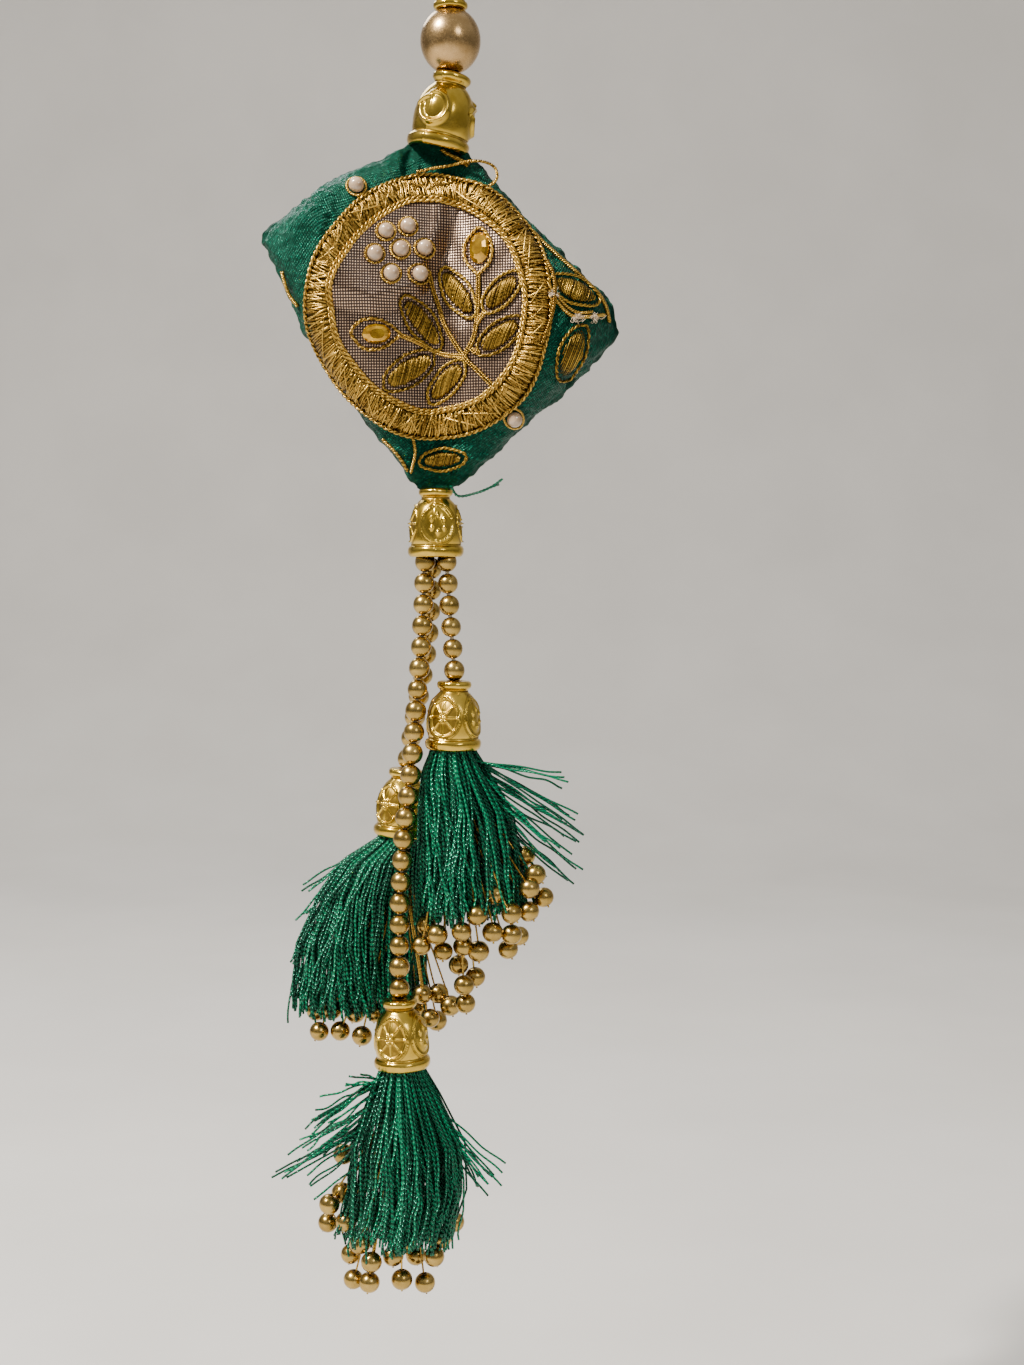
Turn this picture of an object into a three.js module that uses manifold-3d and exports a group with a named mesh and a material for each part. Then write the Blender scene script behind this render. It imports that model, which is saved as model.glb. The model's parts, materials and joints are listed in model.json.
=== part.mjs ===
// Hanging tassel ornament: a silk cord loop, a bell cap, a large bead, a second bell cap, a stuffed
// square cushion with a round medallion, a third bell cap and three beaded strands. Each strand ends
// in a bell cap with a thread skirt and a bunch of beads.
// Millimetres, +Z up, +X to the right seen from the front, +Y to the back. The origin is the point
// inside the top of the cord loop where it bears on its hook.
import * as THREE from "three";
import { mergeVertices } from "three/addons/utils/BufferGeometryUtils.js";
import Module from "manifold-3d";

const wasm = await Module();
wasm.setup();

// Driving dimensions
const GAP = 0.3;
const BEAD_RADIUS = 2;
const BEAD_BORE = 0.75;
const STRING_RADIUS = 0.4;
const CAP_HEIGHT = 14;
const CAP_RIM_RADIUS = 5.7;
const CAP_NECK_RADIUS = 3.5;
const CAP_WALL = 0.7;
const CAP_BORE = 1.6;
const CAP_SIDES = 16;
const CORD_RADIUS = 1.5;
const CORD_LEG_X = 1.9;
const CORD_LEG_IN_CAP = 8;
const LOOP_STEPS = 26;
const BAR_SIDES = 8;
const LARGE_BEAD_RADIUS = 5.9;
const LARGE_BEAD_HALF_HEIGHT = 6.5;
const LARGE_BEAD_BORE = 1.1;
const CUSHION_FRONT_DEPTH = 12.5;
const CUSHION_BACK_DEPTH = 10.5;
const COVER_THICKNESS = 0.6;
const FILLING_SLACK = 0.6;
const FILLING_SEAM_GAP = 0.05;
const PUFF_FLATNESS = 2.4;
const PUFF_FALL = 0.8;
const MEDALLION_RADIUS = 25.4;
const MEDALLION_THICKNESS = 0.8;
const MEDALLION_BORDER_LIFT = 0.7;
const MEDALLION_CLEARANCE = 1.4;
const MEDALLION_SIDES = 24;
const SKIRT_WALL = 1.6;
const SKIRT_SIDES = 14;
const SKIRT_MOUTH_RADIUS = 4.5;
const SKIRT_HEAD = 6.2;
const SKIRT_HEAD_RADIUS = 2.8;
const SKIRT_COLLAR = 0.6;
const KNOT_DROP = 3.4;
const KNOT_RADIUS = 1.4;
const BUNCH_BEAD_RADIUS = 2.05;
const BUNCH_THREAD_RADIUS = 0.3;

// Heights of the threaded pieces, worked down from the top of the loop, and how far to the left of
// the loop the cushion and all below it hang
const HUNG_OFFSET = -2;
const TOP_CAP_MOUTH_Z = -20;
const TOP_CAP_NECK_Z = TOP_CAP_MOUTH_Z - CAP_HEIGHT;
const LARGE_BEAD_Z = TOP_CAP_NECK_Z - GAP - LARGE_BEAD_HALF_HEIGHT;
const UPPER_CAP_NECK_Z = LARGE_BEAD_Z - LARGE_BEAD_HALF_HEIGHT - GAP;
const UPPER_CAP_TILT = THREE.MathUtils.degToRad(9);
const CUSHION_CENTRE = new THREE.Vector2(-1, -97);
const MEDALLION_CENTRE = new THREE.Vector2(-2.6, -94);
const LOWER_CAP_X = -1.1;
const LOWER_CAP_NECK_Z = -131.6;

const FINISHES = {
  cord: { color: 0x0c5a3c, roughness: 0.6, metalness: 0 },
  cap: { color: 0xb08a34, roughness: 0.35, metalness: 1 },
  bead: { color: 0xa67c42, roughness: 0.25, metalness: 1 },
  champagne: { color: 0xa98555, roughness: 0.28, metalness: 1 },
  silk: { color: 0x06523a, roughness: 0.55, metalness: 0 },
  stuffing: { color: 0xe6e0d2, roughness: 0.95, metalness: 0 },
  zari: { color: 0xa8833c, roughness: 0.4, metalness: 0.8 },
  string: { color: 0xd8cfb8, roughness: 0.8, metalness: 0 },
  thread: { color: 0x07693f, roughness: 0.4, metalness: 0 },
};

const ornament = new THREE.Group();
const hung = new THREE.Group();
hung.position.x = HUNG_OFFSET;
ornament.add(hung);

function addPiece(name, geometry, finish, parent = hung) {
  const mesh = new THREE.Mesh(geometry, new THREE.MeshStandardMaterial(FINISHES[finish]));
  mesh.name = name;
  parent.add(mesh);
  return mesh;
}

// Closed triangle mesh as a solid, and back
function solidOf(geometry) {
  const bare = geometry.clone();
  bare.deleteAttribute("normal");
  bare.deleteAttribute("uv");
  const merged = mergeVertices(bare, 1e-4);
  return new wasm.Manifold(new wasm.Mesh({
    numProp: 3,
    vertProperties: new Float32Array(merged.attributes.position.array),
    triVerts: new Uint32Array(merged.index.array),
  }));
}

function geometryOf(solid) {
  const mesh = solid.getMesh();
  const geometry = new THREE.BufferGeometry();
  geometry.setAttribute("position", new THREE.BufferAttribute(mesh.vertProperties, 3));
  geometry.setIndex(new THREE.BufferAttribute(mesh.triVerts, 1));
  geometry.computeVertexNormals();
  return geometry;
}

// Lathe about +Z of [radius, height] points that run down the outside and up the bore
function turned(points, segments) {
  const profile = points.map(([radius, height]) => new THREE.Vector2(radius, height)).reverse();
  const geometry = new THREE.LatheGeometry(profile, segments);
  geometry.rotateX(Math.PI / 2);
  return geometry;
}

// Round bar along a smooth curve through hand-chosen points
function bar(points, radius, sides, steps) {
  const section = new THREE.Shape();
  for (let i = 0; i < sides; i += 1) {
    const turn = (i / sides) * Math.PI * 2;
    const x = radius * Math.cos(turn);
    const y = radius * Math.sin(turn);
    if (i === 0) section.moveTo(x, y);
    else section.lineTo(x, y);
  }
  section.closePath();
  const path = new THREE.CatmullRomCurve3(points.map((p) => new THREE.Vector3(...p)));
  return new THREE.ExtrudeGeometry(section, { steps, bevelEnabled: false, extrudePath: path });
}

// Closed skin over a stack of equal rings of points, closed at both ends by a fan
function skinned(rings) {
  const count = rings[0].length;
  const positions = rings.flat().flatMap((p) => [p.x, p.y, p.z]);
  const index = [];
  for (let k = 0; k + 1 < rings.length; k += 1) {
    for (let i = 0; i < count; i += 1) {
      const a = k * count + i;
      const b = k * count + ((i + 1) % count);
      index.push(a, b, a + count, b, b + count, a + count);
    }
  }
  for (const [k, outward] of [[0, false], [rings.length - 1, true]]) {
    const centre = rings[k].reduce((sum, p) => sum.add(p), new THREE.Vector3()).divideScalar(count);
    const hub = positions.length / 3;
    positions.push(centre.x, centre.y, centre.z);
    for (let i = 0; i < count; i += 1) {
      const a = k * count + i;
      const b = k * count + ((i + 1) % count);
      if (outward) index.push(a, b, hub);
      else index.push(b, a, hub);
    }
  }
  const geometry = new THREE.BufferGeometry();
  geometry.setAttribute("position", new THREE.Float32BufferAttribute(positions, 3));
  geometry.setIndex(index);
  return facingOut(geometry);
}

// Turns every face round when the enclosed volume comes out negative
function facingOut(geometry) {
  const at = geometry.attributes.position;
  const index = Array.from(geometry.index.array);
  const [a, b, c] = [new THREE.Vector3(), new THREE.Vector3(), new THREE.Vector3()];
  let volume = 0;
  for (let i = 0; i < index.length; i += 3) {
    a.fromBufferAttribute(at, index[i]);
    b.fromBufferAttribute(at, index[i + 1]);
    c.fromBufferAttribute(at, index[i + 2]);
    volume += a.dot(b.cross(c));
  }
  if (volume < 0) {
    for (let i = 0; i < index.length; i += 3) {
      [index[i + 1], index[i + 2]] = [index[i + 2], index[i + 1]];
    }
    geometry.setIndex(index);
  }
  geometry.computeVertexNormals();
  return geometry;
}

// Thin-walled bell cap, neck up, with the top of its neck at z = 0 and its mouth at z = -CAP_HEIGHT
function bellCap() {
  const neck = CAP_NECK_RADIUS;
  const rim = CAP_RIM_RADIUS;
  const bore = CAP_BORE;
  const inside = rim - 0.2 - CAP_WALL;
  return turned([
    [bore, 0],
    [neck - 0.5, 0],
    [neck, -0.8],
    [neck - 0.5, -1.8],
    [rim - 1.3, -4],
    [rim - 0.3, -7],
    [rim - 0.3, -CAP_HEIGHT + 2.6],
    [rim, -CAP_HEIGHT + 1.7],
    [rim, -CAP_HEIGHT + 0.4],
    [rim - 0.4, -CAP_HEIGHT],
    [inside, -CAP_HEIGHT],
    [inside, -7.4],
    [inside - 1.2, -4.4],
    [bore, -2.6],
    [bore, 0],
  ], CAP_SIDES);
}

// Bead with a string bore along Z
function boredBead(radius, halfHeight, bore, bands, segments) {
  const start = Math.asin(bore / radius);
  const points = [];
  for (let k = 0; k <= bands; k += 1) {
    const angle = start + ((Math.PI - 2 * start) * k) / bands;
    points.push([radius * Math.sin(angle), halfHeight * Math.cos(angle)]);
  }
  points.push(points[0]);
  return turned(points, segments);
}

function makeTop() {
  const legX = CORD_LEG_X;
  const legEnd = TOP_CAP_MOUTH_Z - CORD_LEG_IN_CAP;
  const loopPath = [
    [-legX, 0, legEnd],
    [-legX, 0, TOP_CAP_MOUTH_Z],
    [-3.4, 0, -14.5],
    [-5.9, 0, -8],
    [-5, 0, -1.6],
    [0, 0, CORD_RADIUS],
    [5, 0, -1.6],
    [5.9, 0, -8],
    [3.4, 0, -14.5],
    [legX, 0, TOP_CAP_MOUTH_Z],
    [legX, 0, legEnd],
  ];
  addPiece("hanging_loop", bar(loopPath, CORD_RADIUS, BAR_SIDES, LOOP_STEPS), "cord", ornament);

  const topCap = addPiece("top_bell_cap", bellCap(), "cap", ornament);
  topCap.position.z = TOP_CAP_NECK_Z;
  topCap.rotation.x = Math.PI;

  const bead = boredBead(LARGE_BEAD_RADIUS, LARGE_BEAD_HALF_HEIGHT, LARGE_BEAD_BORE, 9, 16);
  addPiece("large_bead", bead, "champagne", ornament).position.z = LARGE_BEAD_Z;
  const reach = LARGE_BEAD_HALF_HEIGHT - GAP;
  const core = [[0, 0, LARGE_BEAD_Z - reach], [0, 0, LARGE_BEAD_Z], [0, 0, LARGE_BEAD_Z + reach]];
  addPiece("large_bead_string", bar(core, LARGE_BEAD_BORE - GAP, BAR_SIDES, 2), "string", ornament);

  const upperCap = addPiece("upper_bell_cap", bellCap(), "cap", ornament);
  upperCap.position.z = UPPER_CAP_NECK_Z;
  upperCap.rotation.y = UPPER_CAP_TILT;
}

// Seen from the front the cushion is a square hung by one corner. Its left corner is folded in, its
// top corner is gathered into a narrow tab inside the cap, and its bottom corner is gathered blunt.
function cushionOutline() {
  const corners = [
    [2.6, -59.6], [3.4, -63.5], [9.5, -69.5], [17.5, -79], [26, -87.5], [33, -94], [34.6, -102.4],
    [24, -112], [15.5, -119], [8, -126.5], [2.2, -131], [-4.6, -131], [-9.2, -123.5], [-18, -112.5],
    [-26.5, -99.5], [-30.5, -90.5], [-35.4, -81.2], [-28, -75.4], [-18.5, -69.4], [-8.6, -65.2],
    [-4.4, -63.5], [-3.6, -59.6],
  ];
  return corners.map(([x, z]) => new THREE.Vector2(x, z));
}

// Height of the puff as a share of its depth, from 0 at the seam to 1 at the crown
function puffAt(share) {
  return Math.pow(Math.max(0, 1 - Math.pow(share, PUFF_FLATNESS)), PUFF_FALL);
}

// One half of the puffed cushion from the seam to its crown. share runs from 1 at the seam to 0 at
// the crown, and inset draws the whole half inwards by a thickness.
function puffedRings(depth, seamGap, inset) {
  const outline = cushionOutline();
  const shares = [1, 0.93, 0.8, 0.62, 0.4, 0.16];
  return shares.map((share) => outline.map((corner) => {
    const radial = corner.clone().sub(CUSHION_CENTRE);
    const length = radial.length();
    const place = radial.multiplyScalar(((length - inset) / length) * share).add(CUSHION_CENTRE);
    const rise = (depth - inset - seamGap) * puffAt(share);
    return new THREE.Vector3(place.x, seamGap + rise, place.y);
  }));
}

function mirroredToFront(rings) {
  return rings.map((ring) => ring.map((p) => new THREE.Vector3(p.x, -p.y, p.z)));
}

// A cover is one half's outer skin, turned in at the seam and lined by the same skin drawn inwards
function coverRings(depth) {
  const outer = puffedRings(depth, GAP / 2, 0);
  const inner = puffedRings(depth - COVER_THICKNESS, GAP / 2, COVER_THICKNESS);
  return [...outer.reverse(), ...inner];
}

// Height of the front cover above the seam plane, straight above a point
function frontRise(point) {
  const outline = cushionOutline();
  const ray = point.clone().sub(CUSHION_CENTRE);
  let share = 0;
  outline.forEach((a, i) => {
    const edge = outline[(i + 1) % outline.length].clone().sub(a);
    const start = a.clone().sub(CUSHION_CENTRE);
    const cross = ray.x * edge.y - ray.y * edge.x;
    const along = (start.x * edge.y - start.y * edge.x) / cross;
    const across = (start.x * ray.y - start.y * ray.x) / cross;
    if (along > 0 && across >= 0 && across <= 1) share = 1 / along;
  });
  return GAP / 2 + (CUSHION_FRONT_DEPTH - GAP / 2) * puffAt(share);
}

// Round appliqué following the front cover, with a raised border
function makeMedallion() {
  const border = MEDALLION_BORDER_LIFT;
  const bands = [[0.12, 0], [0.35, 0], [0.58, 0], [0.79, 0], [0.84, border], [0.96, border], [1, 0]];
  const ringAt = ([share, lift], thickness) => Array.from({ length: MEDALLION_SIDES }, (_, i) => {
    const turn = (i / MEDALLION_SIDES) * Math.PI * 2;
    const reach = new THREE.Vector2(Math.cos(turn), Math.sin(turn));
    const place = reach.multiplyScalar(MEDALLION_RADIUS * share).add(MEDALLION_CENTRE);
    return new THREE.Vector3(place.x, -(frontRise(place) + thickness + lift), place.y);
  });
  const face = bands.map((band) => ringAt(band, MEDALLION_CLEARANCE + MEDALLION_THICKNESS));
  const back = bands.map(([share]) => ringAt([share, 0], MEDALLION_CLEARANCE)).reverse();
  addPiece("medallion", skinned([...face, ...back]), "zari");
}

function makeCushion() {
  addPiece("cushion_front_cover", skinned(mirroredToFront(coverRings(CUSHION_FRONT_DEPTH))), "silk");
  addPiece("cushion_back_cover", skinned(coverRings(CUSHION_BACK_DEPTH)), "silk");
  const inset = COVER_THICKNESS * 2 + GAP;
  const frontDepth = CUSHION_FRONT_DEPTH - FILLING_SLACK;
  const front = mirroredToFront(puffedRings(frontDepth, FILLING_SEAM_GAP, inset));
  const back = puffedRings(CUSHION_BACK_DEPTH - FILLING_SLACK, FILLING_SEAM_GAP, inset);
  addPiece("cushion_filling", skinned([...front.reverse(), ...back]), "stuffing");
  makeMedallion();
  const lowerCap = addPiece("lower_bell_cap", bellCap(), "cap");
  lowerCap.position.set(LOWER_CAP_X, 0, LOWER_CAP_NECK_Z);
}

// Beads threaded on their strings. stops are hand-chosen points of the string from top to bottom, and
// splits are the numbers of beads on each string, one string for each freely swinging stretch.
function makeStrand(name, stops, splits) {
  const path = new THREE.CatmullRomCurve3(stops.map((p) => new THREE.Vector3(...p)));
  const total = splits.reduce((sum, count) => sum + count, 0);
  const spots = Array.from({ length: total }, (_, i) => path.getPointAt(i / (total - 1)));
  const bead = boredBead(BEAD_RADIUS, BEAD_RADIUS, BEAD_BORE, 5, 8);
  const up = new THREE.Vector3(0, 0, 1);
  spots.forEach((spot, i) => {
    const number = String(i + 1).padStart(2, "0");
    const mesh = addPiece(`${name}_bead_${number}`, bead.clone(), "bead");
    mesh.position.copy(spot);
    const run = spots[Math.max(i - 1, 0)].clone().sub(spots[Math.min(i + 1, total - 1)]).normalize();
    mesh.quaternion.setFromUnitVectors(up, run);
  });
  let first = 0;
  splits.forEach((count, k) => {
    const own = spots.slice(first, first + count);
    const reach = BEAD_RADIUS - GAP / 2;
    const slope = own[0].clone().sub(own[1]).normalize().multiplyScalar(reach);
    const tail = own[count - 2].clone().sub(own[count - 1]).normalize().multiplyScalar(reach);
    const points = [own[0].clone().add(slope), ...own, own[count - 1].clone().sub(tail)];
    const label = splits.length > 1 ? `${name}_string_${k + 1}` : `${name}_string`;
    addPiece(label, bar(points.map((p) => p.toArray()), STRING_RADIUS, BAR_SIDES, count + 1), "string");
    first += count;
  });
}

// Thread skirt: a flaring bell of threads with its tied head inside the cap, hollow below the mouth.
// floors are [centre x, centre y, z, half width, half depth] of its outline, the head's two first.
function skirtRings(floors) {
  const ring = ([x, y, z, halfWidth, halfDepth], wall) => Array.from({ length: SKIRT_SIDES }, (_, i) => {
    const turn = (i / SKIRT_SIDES) * Math.PI * 2;
    return new THREE.Vector3(
      x + (halfWidth - wall) * Math.cos(turn),
      y + (halfDepth - wall) * Math.sin(turn),
      z,
    );
  });
  const outside = floors.map((floor) => ring(floor, 0));
  const inside = floors.slice(2).map((floor) => ring(floor, SKIRT_WALL)).reverse();
  return [...outside, ...inside];
}

// Beads on threads of their own, tied to a knot in the skirt's head and hanging just below the skirt
function bunchOf(knot, beads) {
  const knotBall = new THREE.SphereGeometry(KNOT_RADIUS, 8, 6);
  knotBall.translate(...knot);
  let solid = solidOf(knotBall);
  for (const [x, y, z] of beads) {
    const ball = new THREE.SphereGeometry(BUNCH_BEAD_RADIUS, 7, 5);
    ball.translate(x, y, z);
    const thread = bar([knot, [x, y, z]], BUNCH_THREAD_RADIUS, 4, 1);
    solid = solid.add(solidOf(ball)).add(solidOf(thread));
  }
  return geometryOf(solid);
}

// Bell cap, thread skirt and bead bunch at the end of a strand
function makeTassel(name, { neck, tilt, floors, beads }) {
  const cap = addPiece(`${name}_bell_cap`, bellCap(), "cap");
  cap.position.set(...neck);
  cap.rotation.y = tilt;
  const mouth = new THREE.Vector3(0, 0, -CAP_HEIGHT).applyEuler(cap.rotation).add(cap.position);
  const roundFloor = (rise, radius) => [mouth.x, mouth.y, mouth.z + rise, radius, radius];
  const head = [
    roundFloor(SKIRT_HEAD, SKIRT_HEAD_RADIUS),
    roundFloor(SKIRT_COLLAR, SKIRT_MOUTH_RADIUS),
    roundFloor(-SKIRT_COLLAR, SKIRT_MOUTH_RADIUS),
  ];
  const outline = [...head, ...floors];
  addPiece(`${name}_thread_skirt`, skinned(skirtRings(outline)), "thread");
  const knot = [mouth.x, mouth.y, mouth.z - KNOT_DROP];
  addPiece(`${name}_bead_bunch`, bunchOf(knot, beads), "bead");
}

// The long front strand ends in tassel 1, the short right one in tassel 2 and the back one in tassel 3
function makeStrands() {
  makeStrand("strand_1", [
    [-3.2, -1.6, -146.6], [-3.5, -2.2, -154.1], [-3.9, -3, -162.9], [-4.6, -3.9, -171.5],
    [-5.3, -4.8, -180.2], [-6, -5.8, -189.4], [-7, -6.6, -198.2], [-7.7, -7, -207],
    [-8.2, -7, -216], [-8.3, -7, -224.8], [-8.3, -7, -232.4],
  ], [10, 11]);
  makeTassel("tassel_1", {
    neck: [-8.3, -7, -234.1],
    tilt: -0.04,
    floors: [
      [-7.3, -7, -254, 7.2, 6.2], [-6.6, -7, -264, 11.6, 8.5],
      [-6.7, -7, -273.5, 12.2, 9.5], [-8.6, -7, -282.5, 11.8, 9.5],
    ],
    beads: [
      [-17.8, -7, -286.3], [-13.8, -10, -287.5], [-17.2, -7.5, -291.1], [-12.6, -7, -291.9],
      [-13.4, -3, -287.9], [-9.2, -11.5, -286.5], [-7.6, -7.5, -291.3], [-8.6, -3, -286.9],
      [-3.2, -8, -291.7], [-4.2, -11, -286.7], [-0.6, -7.5, -286.3], [-3.4, -3.2, -287.1],
    ],
  });

  makeStrand("strand_2", [
    [1.2, -1.6, -146.6], [1.6, -1.7, -154.2], [2.2, -1.9, -161.6], [2.7, -2, -168.6],
  ], [6]);
  makeTassel("tassel_2", {
    neck: [2.7, -2, -170.3],
    tilt: 0.02,
    floors: [
      [2.9, -2.4, -189, 6.7, 5.6], [4.9, -3.2, -197, 9.5, 6.2],
      [5.7, -3.2, -206.5, 10.6, 7.2], [6.1, -3.2, -216.5, 11.4, 7.6],
    ],
    beads: [
      [-2.8, -3, -220.4], [-0.4, -6.5, -223], [-3, -3, -224.8], [1, -1, -225.4],
      [3.6, -7.5, -221.2], [5.2, -3.5, -224.4], [7.8, -7.5, -221.8], [6.8, 0.8, -221.4],
      [10.8, -4, -221], [9.4, -2, -225.6], [14.2, -6, -221.4], [13.8, -2.5, -225.4],
      [15.4, -1, -220.8],
    ],
  });

  makeStrand("strand_3", [
    [-2.1, 2.7, -148], [-2.3, 3, -156], [-3.4, 3.6, -166.5], [-5.3, 4.3, -177], [-7.2, 4.8, -187.3],
  ], [10]);
  makeTassel("tassel_3", {
    neck: [-7.4, 4.9, -189],
    tilt: 0.08,
    floors: [
      [-12, 5.5, -208.5, 8.6, 5.6], [-14.6, 7.4, -216, 11.4, 6.2],
      [-16.6, 9, -226, 13.8, 6.8], [-17.6, 9.6, -237, 14.2, 6.8],
    ],
    beads: [
      [-24.6, 9, -243], [-21.4, 6.4, -240], [-20.4, 9.6, -243.8], [-16.4, 7.2, -244],
      [-23.8, 12, -240], [-16.8, 12.2, -240.6], [-12.6, 10.4, -243], [-11.8, 6.6, -240],
      [-7.6, 9, -240.6], [-7.8, 12.4, -243.4],
    ],
  });
}

makeTop();
makeCushion();
makeStrands();

export default ornament;
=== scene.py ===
"""Looks of the hanging tassel ornament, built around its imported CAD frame.

Metres, +Z up, +X to the right seen from the front, +Y to the back. The design lists below are in
millimetres and are turned into metres where they are used.
"""
import json
import math

import bpy
import numpy as np
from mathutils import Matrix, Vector, noise
from mathutils.bvhtree import BVHTree

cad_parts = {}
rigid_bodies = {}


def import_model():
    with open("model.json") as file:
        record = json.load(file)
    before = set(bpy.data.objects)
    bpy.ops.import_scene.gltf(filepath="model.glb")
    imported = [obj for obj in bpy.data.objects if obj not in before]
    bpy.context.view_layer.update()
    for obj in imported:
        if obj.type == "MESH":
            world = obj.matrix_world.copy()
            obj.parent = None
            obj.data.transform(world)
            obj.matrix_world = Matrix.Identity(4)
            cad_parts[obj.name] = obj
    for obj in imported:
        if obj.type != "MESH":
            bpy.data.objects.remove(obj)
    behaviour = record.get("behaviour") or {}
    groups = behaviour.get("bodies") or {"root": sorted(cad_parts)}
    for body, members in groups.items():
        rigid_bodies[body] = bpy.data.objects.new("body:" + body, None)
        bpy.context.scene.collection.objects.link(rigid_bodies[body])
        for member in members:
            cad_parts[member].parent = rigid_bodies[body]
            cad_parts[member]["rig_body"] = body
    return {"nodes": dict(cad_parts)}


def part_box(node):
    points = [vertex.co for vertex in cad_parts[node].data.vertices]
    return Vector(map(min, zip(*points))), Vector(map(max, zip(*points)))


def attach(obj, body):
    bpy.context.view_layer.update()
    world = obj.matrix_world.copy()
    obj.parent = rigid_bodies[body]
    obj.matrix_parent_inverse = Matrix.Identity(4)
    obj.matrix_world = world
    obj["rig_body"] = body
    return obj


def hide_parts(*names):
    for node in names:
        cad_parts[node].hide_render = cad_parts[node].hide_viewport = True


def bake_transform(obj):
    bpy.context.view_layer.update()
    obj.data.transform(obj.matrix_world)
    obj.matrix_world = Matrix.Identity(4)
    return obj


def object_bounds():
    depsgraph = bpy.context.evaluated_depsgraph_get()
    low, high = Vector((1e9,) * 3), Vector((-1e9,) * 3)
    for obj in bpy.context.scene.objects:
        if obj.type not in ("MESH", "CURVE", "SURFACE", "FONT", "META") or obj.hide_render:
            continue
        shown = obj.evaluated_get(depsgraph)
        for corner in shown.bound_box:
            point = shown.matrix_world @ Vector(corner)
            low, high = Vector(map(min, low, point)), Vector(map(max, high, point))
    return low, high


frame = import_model()
cad_low, cad_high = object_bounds()

MM = 0.001
RNG = np.random.default_rng(11)


def vec(*numbers):
    return np.array(numbers, float)


def box_of(node):
    low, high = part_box(node)
    return np.array(low), np.array(high)


def body_of(node):
    return frame["nodes"][node]["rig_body"]


# ---------------------------------------------------------------- camera, light and stage

LENS_MM = 52.7
SENSOR_MM = 36
CAMERA_DISTANCE = 0.4065
EYE_Z = -0.141
CAMERA_X = 0.0124
CAMERA_PITCH = math.radians(2.0)
CAMERA_SHIFT = 0.0575
# Place, width, watts and colour of each soft lamp, and the place that they all aim at
LIGHTS = {
    "key": ((-0.5, -0.32, 0.56), 0.1, 27.0, (1.0, 0.94, 0.86)),
    "fill": ((0.5, -0.8, 0.35), 0.3, 2.0, (1.0, 0.97, 0.93)),
    "rim": ((-0.3, 0.6, 0.4), 0.3, 2.0, (0.95, 0.97, 1.0)),
}
LIT_PLACE = (0, 0, -0.14)
ROOM_BELOW, ROOM_ABOVE = (0.05, 0.045, 0.04, 1), (0.75, 0.74, 0.72, 1)
ROOM_STRENGTH = 0.8
FLOOR_GAP = 0.06


def make_camera():
    data = bpy.data.cameras.new("camera")
    data.lens = LENS_MM
    data.sensor_width = SENSOR_MM
    data.shift_y = -CAMERA_SHIFT
    data.clip_start = 0.01
    camera = bpy.data.objects.new("camera", data)
    camera.location = (CAMERA_X, -CAMERA_DISTANCE, EYE_Z)
    camera.rotation_euler = (math.pi / 2 - CAMERA_PITCH, 0, 0)
    bpy.context.scene.collection.objects.link(camera)
    bpy.context.scene.camera = camera


def area_light(name, place, size, watts, colour):
    data = bpy.data.lights.new(name, "AREA")
    data.shape = "DISK"
    data.size = size
    data.energy = watts
    data.color = colour
    light = bpy.data.objects.new(name, data)
    light.location = place
    aim = Vector(LIT_PLACE) - Vector(place)
    light.rotation_euler = aim.to_track_quat("-Z", "Y").to_euler()
    bpy.context.scene.collection.objects.link(light)


def make_lights():
    """Three soft lamps in a room that is dark below and pale above."""
    for name, (place, size, watts, colour) in LIGHTS.items():
        area_light(name, place, size, watts, colour)
    world = bpy.data.worlds.new("studio")
    bpy.context.scene.world = world
    world.use_nodes = True
    tree = world.node_tree
    place = tree.nodes.new("ShaderNodeTexCoord")
    split = tree.nodes.new("ShaderNodeSeparateXYZ")
    ramp = tree.nodes.new("ShaderNodeValToRGB")
    marks = ramp.color_ramp.elements
    marks[0].position, marks[0].color = 0.3, ROOM_BELOW
    marks[1].position, marks[1].color = 0.95, ROOM_ABOVE
    half = tree.nodes.new("ShaderNodeMapRange")
    half.inputs["From Min"].default_value = -1
    tree.links.new(place.outputs["Generated"], split.inputs[0])
    tree.links.new(split.outputs["Z"], half.inputs["Value"])
    tree.links.new(half.outputs[0], ramp.inputs[0])
    tree.links.new(ramp.outputs["Color"], tree.nodes["Background"].inputs["Color"])
    tree.nodes["Background"].inputs["Strength"].default_value = ROOM_STRENGTH


def make_stage():
    """A pale floor that curves up into a far pale wall."""
    floor_z = cad_low.z - FLOOR_GAP
    bend, back, reach, half_width = 0.5, 1.3, 2.5, 3.0
    steps = 12
    profile = [(-reach, 0.0)]
    for k in range(steps + 1):
        turn = math.pi / 2 * k / steps
        profile.append((back - bend + bend * math.sin(turn), bend - bend * math.cos(turn)))
    profile.append((back, reach))
    verts = []
    for x in (-half_width, half_width):
        verts += [(x, y, floor_z + z) for y, z in profile]
    n = len(profile)
    faces = [(k, k + 1, n + k + 1, n + k) for k in range(n - 1)]
    stage = raw_object("studio_floor", verts, faces, [stage_material()])


# ---------------------------------------------------------------- mesh helpers


def raw_object(name, verts, faces, materials, smooth=True, attributes=None, uv=None):
    """A mesh object. attributes are one number per point, uv is one pair per point."""
    mesh = bpy.data.meshes.new(name)
    mesh.from_pydata([tuple(v) for v in np.asarray(verts, float)], [], faces)
    mesh.validate()
    mesh.update()
    for key, values in (attributes or {}).items():
        layer = mesh.attributes.new(key, "FLOAT", "POINT")
        layer.data.foreach_set("value", np.asarray(values, np.float32))
    if uv is not None:
        layer = mesh.uv_layers.new(name="cloth")
        corner = np.zeros(len(mesh.loops), np.int32)
        mesh.loops.foreach_get("vertex_index", corner)
        layer.data.foreach_set("uv", np.asarray(uv, np.float32)[corner].ravel())
    mesh.polygons.foreach_set("use_smooth", [smooth] * len(mesh.polygons))
    for material in materials:
        mesh.materials.append(material)
    made = bpy.data.objects.new(name, mesh)
    bpy.context.scene.collection.objects.link(made)
    return made


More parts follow.
